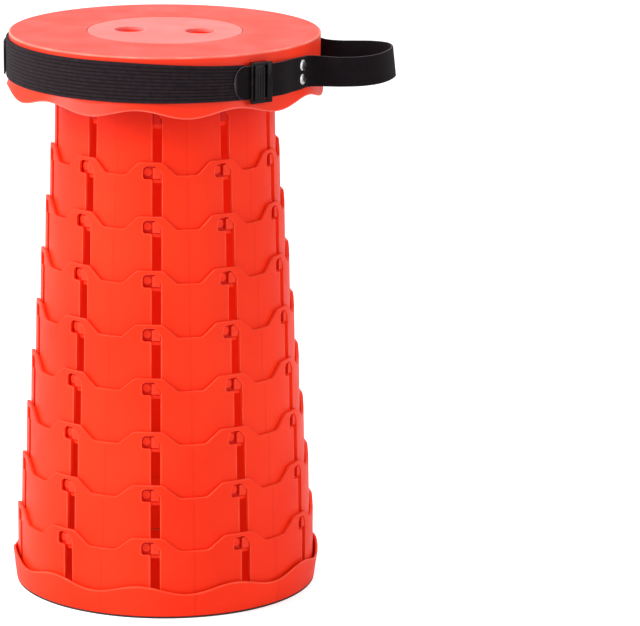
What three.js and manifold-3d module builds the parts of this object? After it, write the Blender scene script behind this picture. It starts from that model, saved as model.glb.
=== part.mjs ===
// Collapsible telescopic stool, extended to its sitting height. Millimetres, +Z up.
// The origin is on the stool's centre line, at the ground.
// Azimuths are degrees about that line: 0 faces -Y, the front, and +90 faces +X.
import * as THREE from "three";
import { mergeVertices } from "three/addons/utils/BufferGeometryUtils.js";
import Module from "manifold-3d";

const wasm = await Module();
wasm.setup();

// Telescope: the hub under the seat, eight loose rings and the base ring slide in each other.
// The stool's height and width follow from their number, travel and walls.
const looseRingCount = 8;
const ringTravel = 42.3;
const hubOuterRadius = 83.1;
const ringWall = 2.6;
const ringGap = 1.52;
const ringGroundGap = 6.3; // under the loose rings when the stool is collapsed
const ringDraft = 1.15; // how much wider a ring is at its foot than at its top

// Columns of slots round each ring
const columnCount = 10;
const slotAzimuth = -4;
const tabAzimuth = -7;
const tabTopSpan = 12;
const tabSlopeSpan = 6.5;
const tabRise = 10.4;

// Slot and hook that guide and hold the lugs of the ring inside
const lugWidth = 6.8;
const lugHeight = 9;
const lugCentre = 8.2; // above the foot of its ring
const lugSideGap = 0.35;
const lugEndGap = 0.5;
const lugFaceGap = 0.35;
const blindRise = 0.6; // of the slot's blind foot above the lug
const hookDepth = 8.3; // from the top of a tab to the middle of its hook
const hookReach = 7.2; // from the slot's centre line to the lug in the hook
const hookHeadroom = 1.1;
const hookCornerCut = 2.2;
const cornerSlopeRun = 5.1;
const cornerSlopeDrop = 6;
const cornerSlopeGap = 0.55;

// Seat
const seatPlate = 3.5;
const seatPlateGap = 0.7; // over the ring tops when the stool is collapsed
const skirtRingGap = 1.02; // between skirt and base ring when the stool is collapsed
const skirtWall = 2.6;
const seatOverhang = 1.2; // of the seat's edge over the skirt
const skirtDepth = 44.8;
const waveHeight = 3.2;
const waveAzimuth = 8.25; // of a low point of the wavy edges
const waveSteps = 6;
const seatLipDrop = 1.9;
const seatLipSlope = 0.8;
const seatLipRound = 1.05;

// Well in the middle of the seat, with its cap
const capThickness = 3;
const capEdgeGap = 0.5;
const capSeatGap = 0.3;
const capLedge = 4;
const wellDepth = 10;
const wellFloor = 3;
const wellWall = 2.6;
const fingerHoleRadius = 12;
const fingerHoleOffset = 28;
const fingerHoleTurn = -7;
const capSides = 40;
const fingerHoleSides = 16;

// Hub flange with its screws
const hubTopGap = 0.3;
const flangeDrop = 5.4;
const flangeThickness = 2.6;
const flangeWidth = 15.1;
const flangeWellGap = 0.8;
const screwCount = 5;
const screwShankRadius = 1.7;
const screwHeadRadius = 3.6;
const screwHeadHeight = 2.2;
const screwLength = 7.4;
const screwHoleGap = 0.3;
const screwSeatGap = 0.3;
const bossRadius = 4.6;
const screwSides = 8;

// Base rim and its foot
const footHeight = 1.3;
const footGap = 0.3;
const footInset = 0.3;
const rimFlare = 2.8; // from its foot to its top
const rimOverhang = 0.6; // of its top past the skirt above
const rimLip = 1.8;
const rimSkirtGap = 0.8; // between rim and skirt when the stool is collapsed
const rimChannelFloor = 6.6;
const rimChannelGap = 0.2;

// Elastic band round the front of the seat
const strapGap = 0.3; // between the layers of the strap and under them
const bandMargin = 5; // by which it is wider than the webbing
const bandThickness = 1.9;
const bandDrop = 2.2; // its upper edge below the top of the seat
const bandStartAzimuth = -108;
const bandEndAzimuth = 36.3;
const bandNeckAzimuth = 31.6; // where it narrows for the buckle
const bandNeckInset = 0.2; // by which its narrow end is narrower than the webbing
const bandNeckRun = 1; // degrees over which it narrows
const strapAzimuthStep = 6;

// Webbing strap: tail, buckle, rivets, carrying loop, back of the seat, second pair of rivets
const webbingWidth = 26;
const webbingThickness = 1.5;
const tailAzimuth = 26.2;
const tailRound = 7;
const tailSteps = 4;
const tailFirstShare = 0.25; // of a step, where the blunt end starts
const rivetDroop = 2.7; // of the strap's middle at the right rivets below the band's middle
const slopeStartAzimuth = 44;
const slopeEndAzimuth = 54;
const loopExitAzimuth = 62;
const loopReturnAzimuth = 98;
const loopReach = 59; // past the edge of the seat
// Shares of the reach, and of the way from where the strap leaves the seat to where it is back
const loopShares = [
  [0, -0.025],
  [0.25, -0.025],
  [0.5, 0.007],
  [0.74, 0.112],
  [0.92, 0.296],
  [1, 0.505],
  [0.94, 0.682],
  [0.74, 0.778],
  [0.5, 0.793],
  [0.26, 0.801],
  [0.1, 0.85],
];
const joinSlopeAzimuth = 240;
const joinAzimuth = 251;
const webbingEndAzimuth = 272;

// Sliding buckle
const buckleAzimuth = 37.6;
const buckleWidth = 22;
const buckleSlack = 0.7; // over and under the webbing in its windows
const buckleDrop = 0.4; // of its middle below the middle of the band
const buckleCorner = 3;
const buckleCornerSteps = 3;
const buckleRail = 2.1;
const buckleBarThickness = 2.1;
const edgeBarWidth = 2.2;
const narrowWindow = 1.6;
const gripBarWidth = 10;
const wideWindow = 2.2;
const lowBarWidth = 2.4;
const lowBarThickness = 1.4;
const lowBarOffset = 1.4; // of its middle from the middle of the buckle

// Rivets through strap and skirt
const rivetSpacing = 12.6;
const rivetHeadRadius = 4.8;
const rivetHeadHeight = 1.4;
const rivetShankRadius = 1.6;
const rivetTailRadius = 3;
const rivetTailHeight = 0.7;
const rivetHoleGap = 0.3;
const rightRivetAzimuth = 59.5;
const leftRivetAzimuth = -100;
const rivetSides = 8;
const rivetDomeShares = [
  [1, 0],
  [0.7, 0.72],
];

const cutOverrun = 1;
const weldDistance = 1e-4;

const fullTurn = 360;
const columnPitch = fullTurn / columnCount;
const ringPitch = ringWall + ringGap;
const slideCount = looseRingCount + 1;
const baseIndex = slideCount;
const hookHeight = lugCentre + ringTravel;
const ringHeight = hookHeight + hookDepth;
const baseTop = ringGroundGap + ringHeight;
const collapsedHeight = baseTop + seatPlateGap + seatPlate;
const stoolHeight = collapsedHeight + slideCount * ringTravel;
const seatUnderside = stoolHeight - seatPlate;
const slotWidth = lugWidth + 2 * lugSideGap;
const slotFoot = lugCentre - lugHeight / 2 - lugEndGap;
const blindTop = lugCentre + lugHeight / 2 + blindRise;
const skirtInnerRadius = hubOuterRadius + slideCount * ringPitch + skirtRingGap;
const skirtOuterRadius = skirtInnerRadius + skirtWall;
const seatRadius = skirtOuterRadius + seatOverhang;
const rimTopRadius = skirtOuterRadius + rimOverhang;
const rimFootRadius = rimTopRadius - rimFlare;

const orangePlastic = { color: "#ff4529", roughness: 0.42, metalness: 0 };
const capPlastic = { color: "#ff5a44", roughness: 0.38, metalness: 0 };
const blackRubber = { color: "#1c1b1d", roughness: 0.85, metalness: 0 };
const blackElastic = { color: "#211f23", roughness: 0.9, metalness: 0 };
const blackWebbing = { color: "#1b1a1d", roughness: 0.85, metalness: 0 };
const blackPlastic = { color: "#18181b", roughness: 0.4, metalness: 0 };
const brightSteel = { color: "#c9c9cc", roughness: 0.25, metalness: 1 };

const stool = new THREE.Group();

function radians(degrees) {
  return THREE.MathUtils.degToRad(degrees);
}

// Point at an azimuth and radius on the stool, at height z
function polar(azimuth, radius, z) {
  const turn = radians(azimuth);
  return [radius * Math.sin(turn), -radius * Math.cos(turn), z];
}

function addPiece(name, geometry, finish) {
  const mesh = new THREE.Mesh(geometry, new THREE.MeshStandardMaterial(finish));
  mesh.name = name;
  stool.add(mesh);
}

function geometryFrom(points, faces) {
  const geometry = new THREE.BufferGeometry();
  geometry.setAttribute("position", new THREE.Float32BufferAttribute(points.flat(), 3));
  geometry.setIndex(faces.flat());
  return geometry;
}

function solidOf(geometry) {
  const bare = geometry.clone();
  bare.deleteAttribute("normal");
  bare.deleteAttribute("uv");
  const merged = mergeVertices(bare, weldDistance);
  return new wasm.Manifold(
    new wasm.Mesh({
      numProp: 3,
      vertProperties: new Float32Array(merged.attributes.position.array),
      triVerts: new Uint32Array(merged.index.array),
    }),
  );
}

function geometryOf(solid) {
  const mesh = solid.getMesh();
  const geometry = new THREE.BufferGeometry();
  geometry.setAttribute("position", new THREE.BufferAttribute(mesh.vertProperties, 3));
  geometry.setIndex(new THREE.BufferAttribute(mesh.triVerts, 1));
  return geometry;
}

function withAdded(geometry, additions) {
  let solid = solidOf(geometry);
  for (const addition of additions) {
    solid = solid.add(solidOf(addition));
  }
  return geometryOf(solid);
}

function withCut(geometry, cutters) {
  let solid = solidOf(geometry);
  for (const cutter of cutters) {
    solid = solid.subtract(solidOf(cutter));
  }
  return geometryOf(solid);
}

// Azimuths of the ring facets: the corners of each tab, and any others given from its middle
function ringAzimuths(extraOffsets) {
  const halfTop = tabTopSpan / 2;
  const halfFoot = halfTop + tabSlopeSpan;
  const offsets = [-halfFoot, -halfTop, halfTop, halfFoot, ...extraOffsets];
  offsets.sort((a, b) => a - b);
  const azimuths = [];
  for (let column = 0; column < columnCount; column += 1) {
    for (const offset of offsets) {
      azimuths.push(tabAzimuth + column * columnPitch + offset);
    }
  }
  return azimuths;
}

// Height of a ring's crenellated top edge above its valleys
function tabRiseAt(azimuth) {
  const fromTab = Math.abs(offsetInColumn(azimuth - tabAzimuth));
  const share = (tabTopSpan / 2 + tabSlopeSpan - fromTab) / tabSlopeSpan;
  return tabRise * THREE.MathUtils.clamp(share, 0, 1);
}

function offsetInColumn(azimuth) {
  return azimuth - columnPitch * Math.round(azimuth / columnPitch);
}

// Height of the wavy edges of skirt and rim about their middle line
function waveAt(azimuth) {
  return -waveHeight * Math.cos(columnCount * radians(azimuth - waveAzimuth));
}

// Azimuths evenly spaced from a low point of the wavy edges
function waveAzimuths() {
  const step = columnPitch / waveSteps;
  return Array.from({ length: columnCount * waveSteps }, (_, index) => waveAzimuth + index * step);
}

// Closed shell: at each azimuth a profile of [radius, height] points, counterclockwise
function turnedShell(azimuths, profileAt) {
  const points = [];
  const rows = azimuths.map((azimuth) => {
    return profileAt(azimuth).map(([radius, z]) => {
      points.push(polar(azimuth, radius, z));
      return { index: points.length - 1, onAxis: radius === 0 };
    });
  });
  const faces = [];
  rows.forEach((row, side) => {
    const next = rows[(side + 1) % rows.length];
    row.forEach((corner, place) => {
      const above = (place + 1) % row.length;
      if (!corner.onAxis) {
        faces.push([corner.index, next[place].index, next[above].index]);
      }
      if (!row[above].onAxis) {
        faces.push([corner.index, next[above].index, row[above].index]);
      }
    });
  });
  return geometryFrom(points, faces);
}

// Turns a shape made along +Z to point outwards at an azimuth, with its foot at a radius
function facingOut(geometry, azimuth, radius, z) {
  geometry.rotateX(Math.PI / 2);
  geometry.rotateZ(radians(azimuth));
  geometry.translate(...polar(azimuth, radius, z));
  return geometry;
}

// Prism pointing outwards at an azimuth between two distances from the centre line.
// Its outline is of [run, height] points, seen from outside.
function outwardPrism(outline, azimuth, lift, from, to) {
  const shape = new THREE.Shape(outline.map(([run, z]) => new THREE.Vector2(run, z)));
  const prism = new THREE.ExtrudeGeometry(shape, { depth: to - from, bevelEnabled: false });
  return facingOut(prism, azimuth, from, lift);
}

function columnAzimuths() {
  return Array.from({ length: columnCount }, (_, column) => slotAzimuth + column * columnPitch);
}

// Slot with its hook, seen from outside, about the slot's centre line and the ring's foot
function slotOutline(lowerEnd) {
  const right = slotWidth / 2;
  const top = hookHeight + lugHeight / 2 + hookHeadroom;
  const hookLeft = -hookReach - right;
  const hookFloor = hookHeight - lugHeight / 2 - lugEndGap;
  return [
    [-right, lowerEnd],
    [right, lowerEnd],
    [right, top - cornerSlopeDrop],
    [right - cornerSlopeRun, top],
    [hookLeft + hookCornerCut, top],
    [hookLeft, top - hookCornerCut],
    [hookLeft, hookFloor],
    [-right, hookFloor],
  ];
}

// Lower end of the slot, which stays blind behind the lug
function blindSlotOutline() {
  const half = slotWidth / 2;
  return [
    [-half, slotFoot],
    [half, slotFoot],
    [half, blindTop + blindRise],
    [-half, blindTop + blindRise],
  ];
}

// Lug with a sloping shoulder that follows the corner of the hook
function lugOutline() {
  const half = lugWidth / 2;
  const top = lugHeight / 2;
  const slope = cornerSlopeDrop / cornerSlopeRun;
  const slopeGap = cornerSlopeGap * Math.hypot(1, slope);
  const shoulderStart = half + lugSideGap - cornerSlopeRun + (hookHeadroom - slopeGap) / slope;
  const shoulderEnd = top - slope * (half - shoulderStart);
  return [
    [-half, lugCentre - top],
    [half, lugCentre - top],
    [half, lugCentre + shoulderEnd],
    [shoulderStart, lugCentre + top],
    [-half, lugCentre + top],
  ];
}

function ringOuterRadius(index) {
  return hubOuterRadius + index * ringPitch;
}

function ringLift(index) {
  return ringGroundGap + (baseIndex - index) * ringTravel;
}

// Distance from the centre line, at a slot's azimuth, to the flat facet below a tab
function facetDistance(radius) {
  const halfTop = radians(tabTopSpan / 2);
  const slotOffset = radians(slotAzimuth - tabAzimuth);
  return (radius * Math.cos(halfTop)) / Math.cos(slotOffset);
}

function lugsOf(index) {
  const root = facetDistance(ringOuterRadius(index)) + ringDraft / 2;
  const face = facetDistance(ringOuterRadius(index + 1)) - lugFaceGap;
  return columnAzimuths().map((azimuth) => {
    return outwardPrism(lugOutline(), azimuth, ringLift(index), root, face);
  });
}

// Cutters from inside a ring out to a given distance from the centre line
function slotCutters(index, outline, distance) {
  const inside = facetDistance(ringOuterRadius(index) - ringWall) - cutOverrun;
  return columnAzimuths().map((azimuth) => {
    return outwardPrism(outline, azimuth, ringLift(index), inside, distance);
  });
}

// How much wider a ring wall is at a height above its foot than at its top
function draftAt(height) {
  return ringDraft * (1 - height / ringHeight);
}

// One loose ring: drafted wall with a crenellated top, slots and lugs
function looseRing(index) {
  const outer = ringOuterRadius(index);
  const inner = outer - ringWall;
  const foot = ringLift(index);
  const wall = turnedShell(ringAzimuths([]), (azimuth) => {
    const height = ringHeight - tabRise + tabRiseAt(azimuth);
    return [
      [inner + ringDraft, foot],
      [outer + ringDraft, foot],
      [outer + draftAt(height), foot + height],
      [inner + draftAt(height), foot + height],
    ];
  });
  const blind = withCut(wall, slotCutters(index, blindSlotOutline(), facetDistance(outer)));
  const slotted = withCut(blind, slotCutters(index, slotOutline(blindTop), outer + cutOverrun));
  return withAdded(slotted, lugsOf(index));
}

// Base moulding: the outermost ring with a rim that flares from its foot
function baseRing() {
  const outer = ringOuterRadius(baseIndex);
  const inner = outer - ringWall;
  const foot = footHeight + footGap;
  const rimMiddle = stoolHeight - skirtDepth - slideCount * ringTravel - rimSkirtGap;
  const wall = turnedShell(ringAzimuths([0, columnPitch / 2]), (azimuth) => {
    const rimTop = rimMiddle + waveAt(azimuth);
    const top = baseTop - tabRise + tabRiseAt(azimuth);
    return [
      [inner, foot],
      [rimFootRadius, foot],
      [rimTopRadius, rimTop],
      [rimTopRadius - rimLip, rimTop],
      [outer, foot + rimChannelFloor],
      [outer, top],
      [inner, top],
    ];
  });
  return withCut(wall, slotCutters(baseIndex, slotOutline(slotFoot), outer + rimChannelGap));
}

function footRing() {
  const inner = ringOuterRadius(baseIndex) - ringWall + footInset;
  const outer = rimFootRadius - footInset;
  return turnedShell(ringAzimuths([]), () => {
    return [
      [inner, 0],
      [outer, 0],
      [outer, footHeight],
      [inner, footHeight],
    ];
  });
}

// Upright cylinder standing between two heights
function uprightRod(x, y, bottom, top, radius, sides) {
  const rod = new THREE.CylinderGeometry(radius, radius, top - bottom, sides);
  rod.rotateX(Math.PI / 2);
  rod.translate(x, y, (bottom + top) / 2);
  return rod;
}

function screwPlaces() {
  return Array.from({ length: screwCount }, (_, index) => {
    return polar((index * fullTurn) / screwCount, screwCircleRadius, 0);
  });
}

const flangeTop = seatUnderside - flangeDrop;
const flangeBottom = flangeTop - flangeThickness;
const wellFloorTop = stoolHeight - wellDepth;
const wellFloorBottom = wellFloorTop - wellFloor;
const capLedgeTop = stoolHeight - capThickness - capSeatGap;
const flangeOuterRadius = hubOuterRadius - ringWall;
const flangeInnerRadius = flangeOuterRadius - flangeWidth;
const screwCircleRadius = (flangeOuterRadius + flangeInnerRadius) / 2;
const wellOuterRadius = flangeInnerRadius - flangeWellGap;
const capSeatRadius = wellOuterRadius - wellWall;
const capRadius = capSeatRadius - capEdgeGap;
const wellInnerRadius = capSeatRadius - capLedge;
const screwHeadTop = flangeBottom - screwSeatGap;

function hubRing() {
  const outer = hubOuterRadius;
  const inner = flangeOuterRadius;
  const foot = ringLift(0);
  const top = seatUnderside - hubTopGap;
  const shell = turnedShell(ringAzimuths([]), () => {
    return [
      [inner + ringDraft, foot],
      [outer + ringDraft, foot],
      [outer, top],
      [inner, top],
      [inner, flangeTop],
      [flangeInnerRadius, flangeTop],
      [flangeInnerRadius, flangeBottom],
      [inner, flangeBottom],
    ];
  });
  const holes = screwPlaces().map(([x, y]) => {
    const radius = screwShankRadius + screwHoleGap;
    return uprightRod(x, y, flangeBottom - cutOverrun, flangeTop + cutOverrun, radius, screwSides);
  });
  return withAdded(withCut(shell, holes), lugsOf(0));
}

function hubScrew([x, y]) {
  const headBottom = screwHeadTop - screwHeadHeight;
  const tip = screwHeadTop + screwLength;
  const head = uprightRod(x, y, headBottom, screwHeadTop, screwHeadRadius, screwSides);
  const shank = uprightRod(x, y, headBottom + screwHeadHeight / 2, tip, screwShankRadius, screwSides);
  return withAdded(head, [shank]);
}

const bandWidth = webbingWidth + bandMargin;
const bandMiddle = stoolHeight - bandDrop - bandWidth / 2;
const bandRadius = skirtOuterRadius + strapGap + bandThickness / 2;
const webbingInnerRadius = skirtOuterRadius + strapGap + webbingThickness / 2;
const webbingOuterRadius = bandRadius + bandThickness / 2 + strapGap + webbingThickness / 2;
const rivetPocketDepth = rivetTailHeight + 2 * rivetHoleGap;
const rivetTailStart = skirtInnerRadius + rivetHoleGap;
const rightMiddle = bandMiddle - rivetDroop;
const rivetPairs = [
  { side: "right", azimuth: rightRivetAzimuth, middle: rightMiddle, radius: webbingInnerRadius },
  { side: "left", azimuth: leftRivetAzimuth, middle: bandMiddle, radius: webbingOuterRadius },
];

// Solid of revolution about +Z, from a profile of [radius, height] points
function turnedRod(profile, sides) {
  const points = profile.map(([radius, z]) => new THREE.Vector2(radius, z));
  return new THREE.LatheGeometry(points, sides).rotateX(Math.PI / 2);
}

// Rivet with a domed head outside and a clinched tail in the skirt's pocket
function strapRivet(pair, z) {
  const headFoot = pair.radius + webbingThickness / 2 + strapGap - rivetTailStart;
  const headTop = headFoot + rivetHeadHeight;
  const dome = rivetDomeShares.map(([radiusShare, heightShare]) => {
    return [rivetHeadRadius * radiusShare, headFoot + rivetHeadHeight * heightShare];
  });
  const profile = [
    [0, 0],
    [rivetTailRadius, 0],
    [rivetTailRadius, rivetTailHeight],
    [rivetShankRadius, rivetTailHeight],
    [rivetShankRadius, headFoot],
    ...dome,
    [0, headTop],
  ];
  return facingOut(turnedRod(profile, rivetSides), pair.azimuth, rivetTailStart, z);
}

// Stepped hole through the skirt and the strap on it
function rivetCutter(pair, z) {
  const pocketTop = cutOverrun + rivetPocketDepth;
  const holeTop = cutOverrun + pair.radius + webbingThickness - skirtInnerRadius + cutOverrun;
  const profile = [
    [0, 0],
    [rivetTailRadius + rivetHoleGap, 0],
    [rivetTailRadius + rivetHoleGap, pocketTop],
    [rivetShankRadius + rivetHoleGap, pocketTop],
    [rivetShankRadius + rivetHoleGap, holeTop],
    [0, holeTop],
  ];
  return facingOut(turnedRod(profile, rivetSides), pair.azimuth, skirtInnerRadius - cutOverrun, z);
}

function rivetHeights(pair) {
  return { upper: pair.middle + rivetSpacing / 2, lower: pair.middle - rivetSpacing / 2 };
}

function rivetCutters() {
  return rivetPairs.flatMap((pair) => Object.values(rivetHeights(pair)).map((z) => rivetCutter(pair, z)));
}

// Seat moulding: plate, wavy skirt and the well for the cap, with bosses for the hub screws
function seatTop() {
  const lipFoot = stoolHeight - seatLipDrop;
  const shell = turnedShell(waveAzimuths(), (azimuth) => {
    const skirtFoot = stoolHeight - skirtDepth + waveAt(azimuth);
    return [
      [0, wellFloorBottom],
      [wellOuterRadius, wellFloorBottom],
      [wellOuterRadius, seatUnderside],
      [skirtInnerRadius, seatUnderside],
      [skirtInnerRadius, skirtFoot],
      [skirtOuterRadius, skirtFoot],
      [skirtOuterRadius, lipFoot],
      [seatRadius, lipFoot + seatLipSlope],
      [seatRadius - seatLipRound / 3, stoolHeight - seatLipRound / 3],
      [seatRadius - seatLipRound, stoolHeight],
      [capSeatRadius, stoolHeight],
      [capSeatRadius, capLedgeTop],
      [wellInnerRadius, capLedgeTop],
      [wellInnerRadius, wellFloorTop],
      [0, wellFloorTop],
    ];
  });
  const bosses = screwPlaces().map(([x, y]) => {
    return uprightRod(x, y, flangeTop + hubTopGap, seatUnderside + seatPlate / 2, bossRadius, screwSides);
  });
  const pilotTop = screwHeadTop + screwLength + screwSeatGap;
  const pilots = screwPlaces().map(([x, y]) => {
    return uprightRod(x, y, flangeTop - cutOverrun, pilotTop, screwShankRadius + screwHoleGap, screwSides);
  });
  const bossed = withAdded(shell, bosses);
  return withCut(bossed, [...pilots, ...rivetCutters()]);
}

function centreCap() {
  const bottom = stoolHeight - capThickness;
  const holeBottom = bottom - cutOverrun;
  const holeTop = stoolHeight + cutOverrun;
  const plate = uprightRod(0, 0, bottom, stoolHeight, capRadius, capSides);
  const holes = [-fingerHoleOffset, fingerHoleOffset].map((offset) => {
    const [x, y] = polar(fullTurn / 4 + fingerHoleTurn, offset, 0);
    return uprightRod(x, y, holeBottom, holeTop, fingerHoleRadius, fingerHoleSides);
  });
  return withCut(plate, holes);
}

// Ribbon standing on edge along stations of { x, y, middle, width }
function ribbon(stations, thickness) {
  const points = stations.flatMap(({ x, y, middle, width }, index) => {
    const before = stations[Math.max(index - 1, 0)];
    const after = stations[Math.min(index + 1, stations.length - 1)];
    const length = Math.hypot(after.x - before.x, after.y - before.y);
    const sideX = ((after.y - before.y) / length) * (thickness / 2);
    const sideY = ((before.x - after.x) / length) * (thickness / 2);
    return [
      [x - sideX, y - sideY, middle - width / 2],
      [x + sideX, y + sideY, middle - width / 2],
      [x + sideX, y + sideY, middle + width / 2],
      [x - sideX, y - sideY, middle + width / 2],
    ];
  });
  const faces = [
    [0, 1, 2],
    [0, 2, 3],
  ];
  for (let step = 0; step < stations.length - 1; step += 1) {
    for (let side = 0; side < 4; side += 1) {
      const near = 4 * step + side;
      const nearNext = 4 * step + ((side + 1) % 4);
      faces.push([near, near + 4, nearNext + 4], [near, nearNext + 4, nearNext]);
    }
  }
  const last = 4 * (stations.length - 1);
  faces.push([last, last + 2, last + 1], [last, last + 3, last + 2]);
  return geometryFrom(points, faces);
}

function smoothShare(value, from, to) {
  return THREE.MathUtils.smoothstep(value, from, to);
}

// Stations round the seat between two azimuths, with radius, middle and width given at each
function stationsRound(from, to, radiusAt, middleAt, widthAt) {
  const steps = Math.ceil((to - from) / strapAzimuthStep);
  return Array.from({ length: steps + 1 }, (_, step) => {
    const azimuth = from + ((to - from) * step) / steps;
    const [x, y] = polar(azimuth, radiusAt(azimuth), 0);
    return { x, y, middle: middleAt(azimuth), width: widthAt(azimuth) };
  });
}

function elasticBand() {
  const radiusAt = () => bandRadius;
  const middleAt = () => bandMiddle;
  const neckAt = () => webbingWidth - bandNeckInset;
  const neckStart = bandNeckAzimuth + bandNeckRun;
  const wide = stationsRound(bandStartAzimuth, bandNeckAzimuth, radiusAt, middleAt, () => bandWidth);
  const neck = stationsRound(neckStart, bandEndAzimuth, radiusAt, middleAt, neckAt);
  return withCut(ribbon([...wide, ...neck], bandThickness), rivetCutters());
}

// Radius of the webbing's middle: over the band at the buckle and the join, on the skirt between
function webbingRadiusAt(azimuth) {
  const offBand = smoothShare(azimuth, slopeStartAzimuth, slopeEndAzimuth);
  const ontoBand = smoothShare(azimuth, joinSlopeAzimuth, joinAzimuth);
  const lift = webbingOuterRadius - webbingInnerRadius;
  return webbingOuterRadius - lift * offBand + lift * ontoBand;
}

function webbingMiddleAt(azimuth) {
  const droop = smoothShare(azimuth, slopeStartAzimuth, slopeEndAzimuth);
  const recovery = smoothShare(azimuth, loopReturnAzimuth, joinAzimuth);
  return bandMiddle - rivetDroop * (droop - recovery);
}

// The tail's end is rounded: its width follows an ellipse
function tailStations() {
  const degreesLong = THREE.MathUtils.radToDeg(tailRound / webbingOuterRadius);
  return Array.from({ length: tailSteps }, (_, step) => {
    const share = (step + tailFirstShare) / tailSteps;
    const [x, y] = polar(tailAzimuth + share * share * degreesLong, webbingOuterRadius, 0);
    const width = webbingWidth * Math.sqrt(1 - (1 - share * share) ** 2);
    return { x, y, middle: bandMiddle, width };
  });
}

function webbingStrap() {
  const widthAt = () => webbingWidth;
  const along = (from, to) => stationsRound(from, to, webbingRadiusAt, webbingMiddleAt, widthAt);
  const tailEnd = tailAzimuth + THREE.MathUtils.radToDeg(tailRound / webbingOuterRadius);
  const front = along(tailEnd, loopExitAzimuth);
  const back = along(loopReturnAzimuth, webbingEndAzimuth);
  const exit = front[front.length - 1];
  const loop = loopShares.map(([reachShare, spreadShare]) => {
    const x = seatRadius + reachShare * loopReach;
    const y = exit.y + spreadShare * (back[0].y - exit.y);
    return { x, y, middle: exit.middle, width: webbingWidth };
  });
  const strap = ribbon([...tailStations(), ...front, ...loop, ...back], webbingThickness);
  return withCut(strap, rivetCutters());
}

// Outline about the origin of a rectangle with rounded corners
function roundedOutline(width, height, corner, cornerSteps) {
  const outline = [];
  for (let quarter = 0; quarter < 4; quarter += 1) {
    const sideX = quarter === 0 || quarter === 3 ? 1 : -1;
    const sideY = quarter < 2 ? 1 : -1;
    for (let step = 0; step <= cornerSteps; step += 1) {
      const turn = (quarter + step / cornerSteps) * (Math.PI / 2);
      const x = sideX * (width / 2 - corner) + corner * Math.cos(turn);
      const y = sideY * (height / 2 - corner) + corner * Math.sin(turn);
      outline.push([x, y]);
    }
  }
  return outline;
}

function upright(left, right, halfHeight) {
  return [
    [left, -halfHeight],
    [right, -halfHeight],
    [right, halfHeight],
    [left, halfHeight],
  ];
}

// Buckle: a front frame with two windows, two rails and a low bar behind the webbing
function strapBuckle() {
  const middle = bandMiddle - buckleDrop;
  const halfWidth = buckleWidth / 2;
  const windowHalf = webbingWidth / 2 + buckleSlack;
  const halfHeight = windowHalf + buckleRail;
  const frontRadius = webbingOuterRadius + webbingThickness / 2 + strapGap;
  const backRadius = skirtOuterRadius + strapGap;
  const narrowLeft = edgeBarWidth - halfWidth;
  const wideLeft = narrowLeft + narrowWindow + gripBarWidth;
  const frameOutline = roundedOutline(buckleWidth, 2 * halfHeight, buckleCorner, buckleCornerSteps);
  const frontEnd = frontRadius + buckleBarThickness;
  const plate = outwardPrism(frameOutline, buckleAzimuth, middle, frontRadius, frontEnd);
  const windows = [
    upright(narrowLeft, narrowLeft + narrowWindow, windowHalf),
    upright(wideLeft, wideLeft + wideWindow, windowHalf),
  ].map((outline) => {
    return outwardPrism(outline, buckleAzimuth, middle, frontRadius - cutOverrun, frontEnd + cutOverrun);
  });
  const run = halfWidth - buckleCorner;
  const railTop = frontRadius + buckleBarThickness / 2;
  const rails = [-1, 1].map((side) => {
    const outline = upright(-run, run, buckleRail / 2);
    const railMiddle = middle + side * (halfHeight - buckleRail / 2);
    return outwardPrism(outline, buckleAzimuth, railMiddle, backRadius, railTop);
  });
  const lowOutline = upright(lowBarOffset - lowBarWidth / 2, lowBarOffset + lowBarWidth / 2, halfHeight);
  const lowBar = outwardPrism(lowOutline, buckleAzimuth, middle, backRadius, backRadius + lowBarThickness);
  return withAdded(withCut(plate, windows), [...rails, lowBar]);
}

addPiece("base_ring", baseRing(), orangePlastic);
addPiece("foot_ring", footRing(), blackRubber);
for (let index = looseRingCount; index > 0; index -= 1) {
  addPiece(`telescoping_ring_${index}`, looseRing(index), orangePlastic);
}
addPiece("hub_ring", hubRing(), orangePlastic);
addPiece("seat_top", seatTop(), orangePlastic);
addPiece("centre_cap", centreCap(), capPlastic);
screwPlaces().forEach((place, index) => {
  addPiece(`hub_screw_${index + 1}`, hubScrew(place), brightSteel);
});
addPiece("elastic_band", elasticBand(), blackElastic);
addPiece("webbing_strap", webbingStrap(), blackWebbing);
addPiece("strap_buckle", strapBuckle(), blackPlastic);
for (const pair of rivetPairs) {
  for (const [level, z] of Object.entries(rivetHeights(pair))) {
    addPiece(`${pair.side}_${level}_rivet`, strapRivet(pair, z), brightSteel);
  }
}

export default stool;
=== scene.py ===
import math

import bmesh
import bpy
import numpy as np
from mathutils import Matrix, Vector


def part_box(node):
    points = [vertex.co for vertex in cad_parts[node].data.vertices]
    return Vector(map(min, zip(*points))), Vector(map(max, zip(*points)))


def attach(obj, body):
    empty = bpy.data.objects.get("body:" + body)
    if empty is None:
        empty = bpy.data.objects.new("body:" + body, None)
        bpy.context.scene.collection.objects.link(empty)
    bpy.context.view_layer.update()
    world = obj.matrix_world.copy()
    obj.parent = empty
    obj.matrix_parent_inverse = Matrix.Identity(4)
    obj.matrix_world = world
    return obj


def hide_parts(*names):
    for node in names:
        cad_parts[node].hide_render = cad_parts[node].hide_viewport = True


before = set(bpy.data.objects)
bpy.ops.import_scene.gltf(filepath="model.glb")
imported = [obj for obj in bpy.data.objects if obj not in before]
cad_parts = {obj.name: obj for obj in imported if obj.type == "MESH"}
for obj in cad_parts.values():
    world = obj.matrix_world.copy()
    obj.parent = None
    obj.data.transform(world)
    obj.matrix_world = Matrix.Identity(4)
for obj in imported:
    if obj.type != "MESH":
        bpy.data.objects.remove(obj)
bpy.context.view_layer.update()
millimetre = 0.001
print("frame loaded:", len(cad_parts), "nodes")

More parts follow.
